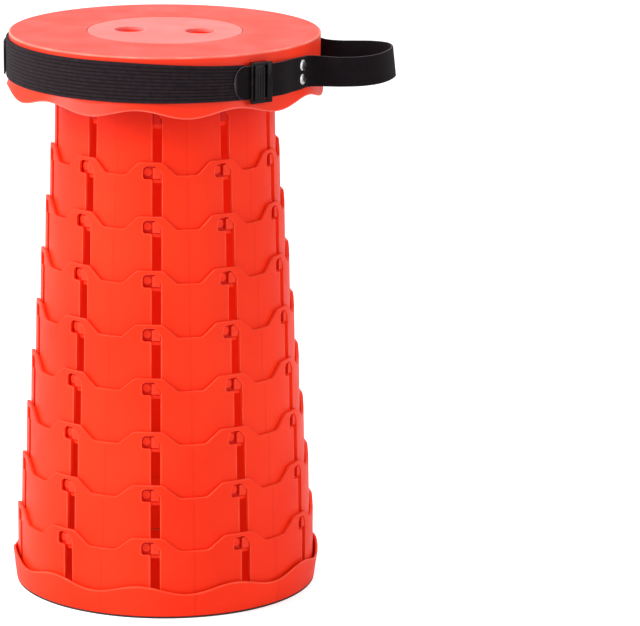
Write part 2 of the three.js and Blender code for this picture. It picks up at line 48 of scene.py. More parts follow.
# Sizes below are in millimetres, azimuths in degrees about the upright axis:
# 0 faces -Y, the front of the stool, and +90 faces +X, the side of the carrying loop.

columns = {
    "count": 10,
    "slotAzimuth": -4.0,
    "tabAzimuth": -7.0,
    "tabTopSpan": 12.0,
    "tabSlopeSpan": 6.5,
    "tabRise": 10.4,
    "waveAzimuth": 8.25,  # of a low point of the wavy edges
    "waveHeight": 3.2,
}
columnPitch = 360 / columns["count"]


# Shader nodes written as expressions


def operator(operation, swapped=False):
    # A method that adds one Math node: wire operation other, or other operation wire
    def apply(wire, other):
        pair = (other, wire) if swapped else (wire, other)
        return wire.finish.math(operation, *pair)
    return apply


class Wire:
    # One output of a shader node. Sums and products of wires add Math nodes.
    __add__, __radd__ = operator("ADD"), operator("ADD", True)
    __sub__, __rsub__ = operator("SUBTRACT"), operator("SUBTRACT", True)
    __mul__, __rmul__ = operator("MULTIPLY"), operator("MULTIPLY", True)
    __truediv__, __rtruediv__ = operator("DIVIDE"), operator("DIVIDE", True)

    def __init__(self, finish, socket):
        self.finish = finish
        self.socket = socket


class Graph:
    # The nodes of a material or world. node() adds any node, with its settings, such as
    # an operation, and the numbers, colours or wires of its sockets.
    def __init__(self, owner):
        owner.use_nodes = True
        self.tree = owner.node_tree

    def node(self, kind, settings=None, values=None, output=0):
        made = self.tree.nodes.new(kind)
        for setting, value in (settings or {}).items():
            setattr(made, setting, value)
        for socket, value in (values or {}).items():
            self.join(made.inputs[socket], value)
        return Wire(self, made.outputs[output])

    def join(self, socket, value):  # a wire is linked, anything else is set
        if isinstance(value, Wire):
            self.tree.links.new(value.socket, socket)
        else:
            socket.default_value = value

    def math(self, operation, first, second=0.0):
        return self.node("ShaderNodeMath", {"operation": operation}, {0: first, 1: second})


class Finish(Graph):
    # A material with its Principled shader, whose sockets are set by feed()
    def __init__(self, name, **plainValues):
        self.material = bpy.data.materials.new(name)
        super().__init__(self.material)
        self.shader = self.tree.nodes["Principled BSDF"]
        for socket, value in plainValues.items():
            self.feed(socket, value)

    def feed(self, socket, value):
        self.join(self.shader.inputs[socket.replace("_", " ")], value)

    def place(self):
        return self.node("ShaderNodeTexCoord", output="Object")

    def axes(self):  # the place as x, y and z
        split = self.node("ShaderNodeSeparateXYZ", values={0: self.place()})
        return [Wire(self, output) for output in split.socket.node.outputs]

    def mark(self, name):  # a number kept on the points of the mesh
        return self.node("ShaderNodeAttribute", {"attribute_name": name}, output="Fac")

    def noise(self, scale, detail=2.0, stretch=None):  # about 0.5 on average
        vector = self.place()
        if stretch:
            vector = self.node("ShaderNodeMapping", values={"Vector": vector, "Scale": stretch})
        values = {"Vector": vector, "Scale": scale, "Detail": detail}
        return self.node("ShaderNodeTexNoise", values=values)

    def sine(self, run, pitch):  # one wave for each pitch of the run
        return self.math("SINE", run * (2 * math.pi / pitch))

    def between(self, amount, low, high):  # smooth step of amount from low to high
        settings = {"interpolation_type": "SMOOTHSTEP"}
        return self.node("ShaderNodeMapRange", settings, {0: amount, 1: low, 2: high})

    def mixColours(self, amount, first, second):  # first at 0, second at 1
        settings = {"data_type": "RGBA"}
        return self.node("ShaderNodeMix", settings, {0: amount, 6: first, 7: second}, 2)

    def bump(self, height, distance):  # distance in metres for a height of 1
        self.feed("Normal", self.node("ShaderNodeBump", values={"Height": height, "Distance": distance}))


# Finishes

def linear(red, green, blue):  # colour on screen, 0 to 255, to the shader's linear values
    shares = np.array([red, green, blue]) / 255
    values = np.where(shares <= 0.04045, shares / 12.92, ((shares + 0.055) / 1.055) ** 2.4)
    return (*values.tolist(), 1.0)


unlit = (0.0, 0.0, 0.0, 1.0)
wrapShift = 20.0  # whole steps added before a fraction is taken, so that nothing is negative

plasticLook = {
    "driftScale": 9.0,  # of the slow drift between two shades
    "rubScale": 70.0,
    # the edges' paleness is partly rubbing and partly a painted highlight line
    "wearAndHighlight": 0.34,  # how much lighter the edges are
    "grainScale": 900.0,  # fine spark-eroded grain of the mould
    "grainDepth": 0.00002,
    "rippleScale": 26.0,  # slow waviness of moulded walls
    "rippleStretch": (1, 1, 0.35),
    "rippleDepth": 0.00012,
    "patchScale": 34.0,  # of duller and glossier patches
    "patchRoughness": 0.1,
    "seamAzimuth": 11.0,
    "seamWidth": (0.2, 0.75),  # degrees from the line's middle over which it fades
    "seamShare": 0.16,
    "seamDepth": 0.00004,
    "glow": (0.42, 0.016, 0.004, 1.0),  # light that comes through the thin walls, seen on their inside
    "slotGlow": 0.38,  # share of it on the inside of the rings
    "deep": linear(204, 20, 6),  # where little light gets in behind a hook
}
plastics = {
    "shellOrange": {
        # the shell's pale is light enough that the paleness on the seat's lip paints a highlight line
        "shades": (linear(254, 57, 26), linear(248, 50, 20)), "pale": linear(255, 168, 150),
        "roughness": 0.4, "gloss": 0.22, "seams": False,
    },
    "ringOrange": {
        "shades": (linear(254, 57, 25), linear(247, 48, 17)), "pale": linear(255, 124, 94),
        "roughness": 0.42, "gloss": 0.12, "seams": True,
    },
    "capOrange": {
        "shades": (linear(230, 113, 106), linear(226, 106, 99)), "pale": linear(250, 168, 160),
        "roughness": 0.36, "gloss": 0.2, "seams": False,
    },
}
# Patch of painted shade behind each hook, on the foot of the ring inside
hookPatch = {
    "level": 6.3,  # height of the lowest ring's foot when pushed together
    "travel": 42.3,
    "middle": -5.0,
    "half": 7.6,
    "height": 8.6,
    "halfHeight": 6.6,
    "fade": 0.8,
    "share": 0.9,
}


def mouldedPlastic(name):
    # Satin moulded plastic: slow drift between two shades, paler edges (rubbed, and a painted highlight),
    # fine grain
    look = plastics[name]
    finish = Finish(name, Specular_IOR_Level=look["gloss"], Emission_Strength=1.0)
    drift = finish.between(finish.noise(plasticLook["driftScale"]), 0.3, 0.7)
    rub = finish.between(finish.noise(plasticLook["rubScale"], 3.0), 0.3, 0.75)
    # paler edges: partly rubbing, partly a painted highlight
    paleEdges = finish.mark("edge") * (0.5 + 0.5 * rub) * plasticLook["wearAndHighlight"]
    colour = finish.mixColours(paleEdges, finish.mixColours(drift, *look["shades"]), look["pale"])
    grain = finish.noise(plasticLook["grainScale"])
    ripple = finish.noise(plasticLook["rippleScale"], 1.0, plasticLook["rippleStretch"])
    height = grain * plasticLook["grainDepth"] + ripple * plasticLook["rippleDepth"]
    if look["seams"]:
        seam = seamLines(finish)
        colour = finish.mixColours(seam * plasticLook["seamShare"], colour, plasticLook["deep"])
        colour = finish.mixColours(hookShade(finish), colour, plasticLook["deep"])
        height = height - seam * plasticLook["seamDepth"]
    patches = finish.between(finish.noise(plasticLook["patchScale"], 3.0), 0.25, 0.75) - 0.5
    finish.feed("Roughness", look["roughness"] + plasticLook["patchRoughness"] * patches)
    finish.feed("Base Color", colour)
    finish.bump(height, 1.0)
    return glowing(finish)


def glowing(finish):
    # The finish with the walls' glow where the mesh is marked as inside
    finish.feed("Emission Color", finish.mixColours(finish.mark("inside"), unlit, plasticLook["glow"]))
    return finish.material


def columnOffset(finish, azimuth):
    # How far a place is from the nearest of the upright lines, one to a column, in columns:
    # the fraction of (turn - azimuth) / pitch, less a half
    sideways, backwards, _ = finish.axes()
    turn = finish.math("ARCTAN2", sideways, 0.0 - backwards) * (180 / math.pi)
    return finish.math("FRACT", (turn - azimuth) / columnPitch + (wrapShift + 0.5)) - 0.5


def seamLines(finish):
    # 1 on the fine upright lines between the columns of a ring, 0 elsewhere
    offset = finish.math("ABSOLUTE", columnOffset(finish, plasticLook["seamAzimuth"])) * columnPitch
    return 1.0 - finish.between(offset, *plasticLook["seamWidth"])


def hookShade(finish):
    # Painted shade on the foot of a ring, seen through the hook of the ring around it: the distance
    # from the middle of the hook, along the ring and upwards, each eased at the patch's edge
    sideways, backwards, upwards = finish.axes()
    radius = finish.math("SQRT", sideways * sideways + backwards * backwards)
    offset = columnOffset(finish, columns["slotAzimuth"]) * math.radians(columnPitch)
    step = (upwards / millimetre - hookPatch["level"]) / hookPatch["travel"]
    height = finish.math("FRACT", step + wrapShift) * hookPatch["travel"]
    shade = finish.mark("low") * hookPatch["share"]
    for distance, half in (
        (offset * radius / millimetre - hookPatch["middle"], hookPatch["half"]),
        (height - hookPatch["height"], hookPatch["halfHeight"]),
    ):
        away = finish.math("ABSOLUTE", distance)
        shade = shade * (1.0 - finish.between(away, half - hookPatch["fade"], half))
    # together with the painted shade marked on the mesh, the darker of the two
    return finish.math("MAXIMUM", shade, finish.mark("recess"))


# Noise as scale, detail and stretch, and the two levels between which it is eased
plainLooks = {
    "footRubber": {
        "haze": (60.0, 4.0), "levels": (0.35, 0.8), "share": 0.5,
        "shades": (linear(36, 34, 36), linear(66, 62, 62)),
        "roughness": 0.75, "hazeRoughness": 0.15, "grain": (500.0, 3.0), "grainDepth": 0.0001,
        "sockets": {"Emission_Strength": 1.0},
    },
    "bucklePlastic": {
        "haze": (90.0, 3.0), "levels": (0.3, 0.8), "share": 1.0,
        "shades": (linear(10, 7, 9), linear(20, 15, 18)), "rub": 0.5, "rubbed": linear(70, 64, 68),
        "roughness": 0.2, "hazeRoughness": 0.14, "grain": (700.0, 2.0), "grainDepth": 0.00003,
        "sockets": {"Specular_IOR_Level": 0.12},
    },
    "rivetSteel": {
        "haze": (420.0, 4.0, (1, 1, 0.2)), "levels": (0.35, 0.7), "share": 1.0,
        "shades": (linear(222, 222, 224), linear(188, 188, 194)),
        "roughness": 0.22, "hazeRoughness": 0.16, "grainDepth": 0.00001,
        "sockets": {"Metallic": 1.0},
    },
}


def plainFinish(name):
    # Two shades mixed by eased noise, the haze, which also roughens: roughness + haze * its share
    look = plainLooks[name]
    finish = Finish(name, **look["sockets"])
    haze = finish.between(finish.noise(*look["haze"]), *look["levels"])
    colour = finish.mixColours(haze * look["share"], *look["shades"])
    if "rub" in look:
        colour = finish.mixColours(finish.mark("edge") * look["rub"], colour, look["rubbed"])
    finish.feed("Base Color", colour)
    finish.feed("Roughness", look["roughness"] + look["hazeRoughness"] * haze)
    finish.bump(finish.noise(*look["grain"]) if "grain" in look else haze, look["grainDepth"])
    return finish


clothLooks = {
    "wovenElastic": {
        "gloss": 0.08,
        "sheen": 0.05,
        "thread": 0.9,  # pitch of the cross thread
        "knit": 1.3,
        "slant": 0.7,
        "fuzz": (260.0, 4.0),
        "valley": linear(11, 7, 9),
        "shades": (linear(24, 16, 20), linear(48, 38, 43)),
        "rub": 0.4,
        "rubbed": linear(50, 42, 48),
        "roughness": 0.78,
        "fuzzRoughness": 0.15,
        "depths": (0.00009, 0.00006, 0.00005),  # of thread, knit and fuzz
    },
    "wovenWebbing": {
        "gloss": 0.06,
        "sheen": 0.04,
        "warp": 1.7,
        "weft": 1.9,
        "fuzz": (240.0, 4.0),
        "shades": (linear(10, 7, 9), linear(28, 22, 26)),
        "rub": 0.6,
        "rubbed": linear(96, 88, 93),
        "roughness": 0.72,
        "fuzzRoughness": 0.18,
        "depths": (0.00014, 0.00004),  # of weave and fuzz
    },
}


def clothStart(name):
    # A cloth's values, its finish, where a point is along and across it, and its fuzz
    look = clothLooks[name]
    finish = Finish(name, Specular_IOR_Level=look["gloss"], Sheen_Weight=look["sheen"])
    return look, finish, finish.mark("along"), finish.mark("across"), finish.noise(*look["fuzz"])


def clothFinish(finish, look, colour, fuzz, height):
    # What both cloths share: paler edges, and more roughness where there is fuzz
    paleEdges = finish.mark("edge") * look["rub"]
    finish.feed("Base Color", finish.mixColours(paleEdges, colour, look["rubbed"]))
    finish.feed("Roughness", look["roughness"] + look["fuzzRoughness"] * fuzz)
    finish.bump(height, 1.0)
    return finish.material


def wovenElastic():
    # Knitted cords run along the band, and a fine cross thread shows between them
    look, finish, along, across, fuzz = clothStart("wovenElastic")
    cord = finish.math("ABSOLUTE", finish.math("SINE", finish.mark("cord") * math.pi))
    thread = 0.5 + 0.5 * finish.sine(along, look["thread"])
    knit = 0.5 + 0.5 * finish.sine(along * look["slant"] + across, look["knit"])
    tone = finish.between(fuzz * 0.6 + thread * 0.25 + knit * 0.15, 0.25, 0.75)
    crest = finish.mixColours(tone, *look["shades"])
    # the valleys between the cords are painted darker: painted shade
    colour = finish.mixColours(finish.between(cord, 0.0, 0.8), look["valley"], crest)
    threadDepth, knitDepth, fuzzDepth = look["depths"]
    height = thread * threadDepth + knit * knitDepth + fuzz * fuzzDepth
    return clothFinish(finish, look, colour, fuzz, height)


def wovenWebbing():
    # Plain weave: threads along and across go over each other in turn
    look, finish, along, across, fuzz = clothStart("wovenWebbing")
    weave = 0.5 + 0.5 * (finish.sine(across, look["warp"]) * finish.sine(along, look["weft"]))
    colour = finish.mixColours(finish.between(weave * 0.6 + fuzz * 0.5, 0.2, 0.9), *look["shades"])
    weaveDepth, fuzzDepth = look["depths"]
    return clothFinish(finish, look, colour, fuzz, weave * weaveDepth + fuzz * fuzzDepth)


shellOrange = mouldedPlastic("shellOrange")
ringOrange = mouldedPlastic("ringOrange")
capOrange = mouldedPlastic("capOrange")
rubber = glowing(plainFinish("footRubber"))
elastic = wovenElastic()
webbing = wovenWebbing()
buckleBlack = plainFinish("bucklePlastic").material
steel = plainFinish("rivetSteel").material
print("finishes made")


# Surfaces as grids of points

weldScale = 2000  # steps to a millimetre: points in the same step are joined
weldShift = 0.137  # keeps round numbers off the border between two steps
arcTurns = np.radians([0, 30, 60, 90])  # of a small rounded edge


def polar(azimuth, radius, height):
    # Points at an azimuth and radius: x = r sin a, y = -r cos a
    turn = np.radians(azimuth)
    parts = np.broadcast_arrays(radius * np.sin(turn), -radius * np.cos(turn), height)
    return np.stack(parts, axis=-1)


def smoothShare(value, low, high):
    # 0 at low, 1 at high, and between them s s (3 - 2 s)
    share = np.clip((value - low) / (high - low), 0, 1)
    return share * share * (3 - 2 * share)


def runAlong(path):
    # Distance from the start of a path to each of its points
    return np.concatenate([[0], np.cumsum(np.linalg.norm(np.diff(path, axis=0), axis=1))])


def pointsAt(stops, run, path):
    # The path's points where the run along it has reached the stops
    return np.stack([np.interp(stops, run, values) for values in path.T], axis=-1)


def roundedEdge(radius):
    # A quarter turn in four steps: depth r (1 - cos), rise r sin
    return radius * (1 - np.cos(arcTurns)), radius * np.sin(arcTurns)


def roundedRim():
    # Depths and rises over the rim of a ring's wall, from its outside to its inside
    depth, rise = roundedEdge(ring["fillet"])
    return np.concatenate([depth, ring["wall"] - depth[::-1]]), np.concatenate([rise, rise[::-1]])


def fullTurn(steps):
    # Azimuths once round, in degrees, the first again as the last
    return np.linspace(0, 360, steps + 1)


def patch(points, **marks):
    # A grid of points with named numbers on it
    filled = {name: np.broadcast_to(value, points.shape[:2]) for name, value in marks.items()}
    return points, filled


def turnedRound(piece, azimuth):
    # The same patches turned about the upright axis
    turn = math.radians(azimuth)
    spin = np.array([
        [math.cos(turn), math.sin(turn), 0],
        [-math.sin(turn), math.cos(turn), 0],
        [0, 0, 1],
    ])
    return [(points @ spin, marks) for points, marks in piece]


def lifted(patches, height):
    # The same patches moved up
    return [(points + np.array([0, 0, height]), marks) for points, marks in patches]


def allRound(cell):
    # The patches of one column, repeated at every column's azimuth
    turned = []
    for column in range(columns["count"]):
        turned += turnedRound(cell, columns["slotAzimuth"] + column * columnPitch)
    return turned


def weld(patches, names):
    # Joins grids where their points meet, and turns the cells into faces without repeated corners
    points = np.concatenate([grid.reshape(-1, 3) for grid, _ in patches])
    marks = {}
    for name in names:
        marks[name] = np.concatenate([m.get(name, np.zeros(g.shape[:2])).ravel() for g, m in patches])
    keys = np.round(points * weldScale + weldShift).astype(np.int64)
    _, first, where = np.unique(keys, axis=0, return_index=True, return_inverse=True)
    where = where.ravel()
    faces = []
    start = 0
    for grid, _ in patches:
        rows, across = grid.shape[:2]
        index = where[start:start + rows * across].reshape(rows, across)
        start += rows * across
        corners = np.stack([index[:-1, :-1], index[:-1, 1:], index[1:, 1:], index[1:, :-1]], -1)
        faces.append(corners.reshape(-1, 4))
    quads = np.concatenate(faces)
    repeated = quads == np.roll(quads, -1, axis=1)
    whole = quads[repeated.sum(1) == 0]
    whole = whole[(whole[:, 0] != whole[:, 2]) & (whole[:, 1] != whole[:, 3])]
    folded = quads[repeated.sum(1) == 1]
    kept = ~repeated[repeated.sum(1) == 1]
    triangles = folded[kept].reshape(-1, 3)
    return points[first], {name: values[first] for name, values in marks.items()}, whole, triangles


def makePiece(name, patches, material, body, nodes, sharpAngle=38):
    # One welded mesh with its marks, facing outwards, that takes the place of its nodes
    names = sorted({key for _, marks in patches for key in marks})
    points, marks, quads, triangles = weld(patches, names)
    mesh = bpy.data.meshes.new(name)
    mesh.from_pydata((points * millimetre).tolist(), [], quads.tolist() + triangles.tolist())
    for key, values in marks.items():
        mesh.attributes.new(key, "FLOAT", "POINT").data.foreach_set("value", values)
    shell = bmesh.new()
    shell.from_mesh(mesh)
    bmesh.ops.recalc_face_normals(shell, faces=shell.faces)
    loose = sum(1 for edge in shell.edges if len(edge.link_faces) != 2)
    shell.to_mesh(mesh)
    shell.free()
    mesh.polygons.foreach_set("use_smooth", np.ones(len(mesh.polygons), bool))
    mesh.set_sharp_from_angle(angle=math.radians(sharpAngle))
    mesh.materials.append(material)
    piece = bpy.data.objects.new(name, mesh)
    bpy.context.scene.collection.objects.link(piece)
    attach(piece, body)
    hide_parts(*nodes)
    print("piece", name, len(mesh.polygons), "faces,", loose, "open edges")


def roundedPath(table, closed=False, arcSteps=8):
    # Corners given as x, y and rounding, joined by straight runs, each corner replaced by an arc
    # that starts radius / tan(half the angle) before it. Also says which corner each point is on.
    corners = np.array(table, float)[:, :2]
    shares = np.linspace(0, 1, arcSteps + 1)[:, None]
    points = []
    marks = []
    for index, (corner, radius) in enumerate(zip(corners, np.array(table, float)[:, 2])):
        before = corners[index - 1]
        after = corners[(index + 1) % len(corners)]
        isEnd = not closed and index in (0, len(corners) - 1)
        if isEnd or radius == 0:
            points.append(corner[None])
            marks.append([index])
            continue
        back = (before - corner) / np.linalg.norm(before - corner)
        ahead = (after - corner) / np.linalg.norm(after - corner)
        half = math.acos(np.clip(back @ ahead, -1, 1)) / 2
        bisector = (back + ahead) / np.linalg.norm(back + ahead)
        centre = corner + bisector * radius / math.sin(half)
        start = corner + back * radius / math.tan(half) - centre
        end = corner + ahead * radius / math.tan(half) - centre
        sweep = math.pi - 2 * half
        arc = (np.sin((1 - shares) * sweep) * start + np.sin(shares * sweep) * end) / math.sin(sweep)
        points.append(centre + arc)
        marks.append([index] * (arcSteps + 1))
    if closed:
        points.append(points[0][:1])
        marks.append([0])
    return np.concatenate(points), np.concatenate(marks)


def waveAt(azimuth):
    # Height of the wavy edges of skirt and rim about their middle line
    turn = np.radians(azimuth - columns["waveAzimuth"])
    return -columns["waveHeight"] * np.cos(columns["count"] * turn)


def revolve(profile, azimuths, waveShare=0.0, edge=0.0, inside=0.0):
    # Profile of (radius, height) carried round the axis, its foot moved up and down by the wave
    radius = profile[:, 0][:, None]
    height = profile[:, 1][:, None] + np.reshape(waveShare, (-1, 1)) * waveAt(azimuths)[None]
    points = polar(azimuths[None], radius, height)
    return patch(points, edge=np.reshape(edge, (-1, 1)), inside=np.reshape(inside, (-1, 1)))


def turnedProfile(table, arcSteps, steps):
    # A profile of (radius, distance) turned about its own axis: r cos t, r sin t and the distance
    radius, distance = roundedPath(table, arcSteps=arcSteps)[0].T[..., None]
    turn = np.radians(fullTurn(steps))
    return np.broadcast_arrays(radius * np.cos(turn), radius * np.sin(turn), distance)


def withRuns(path, marks, rim=0.8, spacing=5.0):
    # The same profile with points on its straight runs: rim from either end and spaced between,
    # so that what is marked on a corner fades within the rim
    points = [path[:1]]
    corners = [marks[:1]]
    for start, end, mark in zip(path[:-1], path[1:], marks[1:]):
        length = np.linalg.norm(end - start)
        if length > 3 * rim:
            stops = np.linspace(rim, length - rim, 2 + int(length / spacing))[:, None] / length
            points.append(start + (end - start) * stops)
            corners.append(np.full(len(stops), -1))
        points.append(end[None])
        corners.append([mark])
    return np.concatenate(points), np.concatenate(corners)


def softBlock(size, edgeRadius, steps=4):
    # Block with rounded edges: a ball cut in eight, its eighths moved to the corners of a core.
    # The point is core * sign(direction) + radius * direction.
    count = 4 * steps
    turn = (np.arange(count + 1) + 0.5) * 2 * math.pi / count
    lift = (np.arange(2 * steps) + 0.5) * math.pi / (2 * steps) - math.pi / 2
    lift = np.concatenate([[-math.pi / 2], lift, [math.pi / 2]])
    direction = np.stack([
        np.cos(lift)[:, None] * np.cos(turn)[None],
        np.cos(lift)[:, None] * np.sin(turn)[None],
        np.broadcast_to(np.sin(lift)[:, None], (len(lift), count + 1)),
    ], axis=-1)
    core = np.maximum(np.array(size) / 2 - edgeRadius, 0.0)
    return core * np.sign(np.round(direction, 9)) + edgeRadius * direction


def blockPatch(low, high, edgeRadius, azimuth, edge=0.0):
    # A soft block given by (run, height, radius) ranges in the upright plane at an azimuth.
    # Its poles are closed by a fan to the middle of the top and bottom faces.
    low = np.array(low, float)
    high = np.array(high, float)
    middle = (low + high) / 2
    points = softBlock(high - low, edgeRadius) + middle
    points[0, :, :2] = middle[:2]
    points[-1, :, :2] = middle[:2]
    turn = math.radians(azimuth)
    along = np.array([math.cos(turn), math.sin(turn), 0])
    out = np.array([math.sin(turn), -math.cos(turn), 0])
    up = np.array([0, 0, 1])
    placed = points[..., :1] * along + points[..., 1:2] * up + points[..., 2:] * out
    return patch(placed, edge=edge)


# Telescoping rings

ring = {
    "hubRadius": 83.1,
    "pitch": 4.12,
    "wall": 2.6,
    "height": 58.8,
    "draft": 1.15,
    "looseCount": 8,
    "slotHalf": 3.75,
    "slotFoot": 3.2,
    "slotRound": 0.9,
    "blindTop": 13.3,
    "hookTop": 56.1,
    "hookFloor": 45.5,
    "hookLeft": -10.95,
    "hookRound": 3.9,
    "hookFloorRound": 2.0,
    "cornerRun": 5.1,
    "cornerDrop": 6.0,
    "cornerRound": 1.6,
    "outlineSteps": 6000,
    "fillet": 0.4,
    "cellLeft": -21.0,  # of a slot's own stretch of the ring, from its centre line
    "outerShares": (0, 0.025, 0.14, 0.3, 0.46, 0.62, 0.76, 0.88, 0.96, 1),  # from its edge to the slot
    "innerShares": (0.93, 0.8, 0.62, 0.42, 0.2, 0),
    "footEdge": 0.8,  # paleness of the foot
    "flatTurns": (6, 3),
    "tabSoftness": 0.7,  # degrees over which the corners of a tab are rounded
    "lowTo": 18.0,  # height of the foot that the next ring's hook shows
    "lowFade": 10.0,
    # painted shade under the seat's skirt on the innermost ring, from this height up, at most this share
    "seatShadowFrom": 22.0,  # deeper colour under the seat, on the innermost ring
    "seatShadowShare": 0.62,
}
lug = {
    "half": 3.4,
    "foot": 3.7,
    "top": 12.7,
    "shoulderLeft": -0.42,
    "shoulderDrop": 4.5,
    "cornerRound": 0.9,
    "topRound": 1.4,
    "rootLift": 0.3,
    "faceGap": 0.35,
    "round": 0.55,
    "edges": (0, 0, 0, 0.25, 0.5, 0.5, 0.15),  # paleness from its root to its face
    "sideRows": 4,
    # painted shade: a little on the lug's face, much on its sides, which outline it dark
    "shade": 0.12,
    "sideShade": 0.9,
    "hiddenShade": 0.95,  # on the hub's lugs, in the dark under the seat
}
knob = {
    "run": -7.3,
    "height": 8.5,
    "radius": 3.1,
    "sunk": 0.4,
    "proud": 0.22,
    "spread": (0.0, 1.0, 1.0, 0.93, 0.8, 0.0),  # its radius and rise, from foot to middle
    "rise": (0.0, 0.0, 0.62, 0.95, 1.0, 1.0),
    "edges": (0, 0, 0.6, 1, 0.2, 0),
}


def tabHeight(offset, hooked=True):
    # Height of the ring's top edge at an azimuth from the slot's centre line:
    # a flat tab, slopes on both sides and valleys between, corners eased by averaging
    if not hooked:
        return ring["height"] + 0.0 * np.asarray(offset)
    shifts = np.linspace(-1, 1, 5) * ring["tabSoftness"]
    total = 0.0
    for shift in shifts:
        fromTab = offset + shift - (columns["tabAzimuth"] - columns["slotAzimuth"])
        fromTab = np.abs((fromTab + columnPitch / 2) % columnPitch - columnPitch / 2)
        share = (columns["tabTopSpan"] / 2 + columns["tabSlopeSpan"] - fromTab) / columns["tabSlopeSpan"]
        total = total + np.clip(share, 0, 1) / len(shifts)
    return ring["height"] - columns["tabRise"] + columns["tabRise"] * total


def slotOutline(lowEnd, hooked):
    # Slot with its hook as (run, height) from outside, in anticlockwise order from the lower left
    half = ring["slotHalf"]
    top = ring["hookTop"]
    corners = [
        (-half, lowEnd, ring["slotRound"]),
        (half, lowEnd, ring["slotRound"]),
        (half, top - ring["cornerDrop"], ring["cornerRound"]),
        (half - ring["cornerRun"], top, ring["cornerRound"]),
    ]
    if hooked:
        corners += [
            (ring["hookLeft"], top, ring["hookRound"]),
            (ring["hookLeft"], ring["hookFloor"], ring["hookFloorRound"]),
            (-half, ring["hookFloor"], ring["slotRound"]),
        ]
    else:
        corners += [(-half, top, ring["slotRound"])]
    path, _ = roundedPath(corners, closed=True, arcSteps=12)
    run = runAlong(path)
    return pointsAt(np.linspace(0, run[-1], ring["outlineSteps"] + 1), run, path)


def slotAnchors(lowEnd):
    # Where the mesh lines from the slot end on the edge of its stretch of the ring:
    # point on the slot, azimuth, part of the edge, and lines up to the next one
    half = ring["slotHalf"]
    left = ring["cellLeft"]
    right = left + columnPitch
    return [
        ((-half, lowEnd), -9.0, "foot", 8),
        ((half, lowEnd), 4.0, "foot", 7),
        ((half, 23.3), right, "side", 24),
        ((half, 45.0), right, "top", 5),
        ((half, 50.1), 9.5, "top", 7),
        ((1.2, 53.1), 3.0, "top", 5),
        ((-1.35, 56.1), 0.0, "top", 9),
        ((-9.8, 54.95), -9.0, "top", 8),
        ((ring["hookLeft"], 50.6), -15.5, "top", 8),
        ((ring["hookLeft"] + 0.6, 46.1), left, "side", 6),
        ((-half, 45.2), left, "side", 18),
        ((-half, 25.3), left, "foot", 8),
    ]


def slotSamples(lowEnd, hooked):
    # Points on the slot between its anchors, evenly spaced along the outline
    outline = slotOutline(lowEnd, hooked)[:-1]
    anchors = slotAnchors(lowEnd)
    places = [int(np.argmin(np.linalg.norm(outline - np.array(a[0]), axis=1))) for a in anchors]
    start = places[0]
    places = [(place - start) % len(outline) for place in places] + [len(outline)]
    outline = np.roll(outline, -start, axis=0)
    outline = np.concatenate([outline, outline[:1]])
    steps = [anchor[3] for anchor in anchors]
    index = [np.linspace(a, b, n + 1)[:-1] for a, b, n in zip(places[:-1], places[1:], steps)]
    index = np.concatenate(index + [[len(outline) - 1]])
    return pointsAt(index, np.arange(len(outline)), outline)


def pushedOut(samples, distance):
    # The closed outline moved into the wall around it, along its own normals
    ahead = np.roll(samples[:-1], -1, axis=0) - np.roll(samples[:-1], 1, axis=0)
    normal = np.stack([ahead[:, 1], -ahead[:, 0]], axis=-1)
    normal = normal / np.linalg.norm(normal, axis=1, keepdims=True)
    moved = samples[:-1] + normal * distance
    return np.concatenate([moved, moved[:1]])


def cellEdge(anchors, footHeight, hooked):
    # Edge of a slot's stretch of the ring as (azimuth, height), its points matched to the slot's:
    # even steps between the anchors, along the foot, up a side, over the top or down a side
    azimuths = []
    heights = []
    left = ring["cellLeft"]
    sideTop = float(tabHeight(np.array(left), hooked)) - ring["fillet"]
    sideFoot = footHeight + ring["fillet"]
    leftSteps = sum(steps for _, azimuth, kind, steps in anchors if (azimuth, kind) == (left, "side"))
    fallen = 0
    for (_, azimuth, kind, steps), (_, nextAzimuth, _, _) in zip(anchors, anchors[1:] + anchors[:1]):
        shares = np.arange(steps) / steps
        azimuthHere = azimuth + (nextAzimuth - azimuth) * shares
        if kind == "foot":
            heightHere = np.full(steps, sideFoot)
        elif kind == "top":
            heightHere = tabHeight(azimuthHere, hooked) - ring["fillet"]
        elif azimuth != left:
            heightHere = sideFoot + (sideTop - sideFoot) * shares
        else:
            heightHere = sideTop + (sideFoot - sideTop) * (fallen + np.arange(steps)) / leftSteps
            fallen += steps
        azimuths.append(azimuthHere)
        heights.append(heightHere)
    azimuths = np.concatenate(azimuths + [azimuths[0][:1]])
    heights = np.concatenate(heights + [heights[0][:1]])
    return azimuths, heights


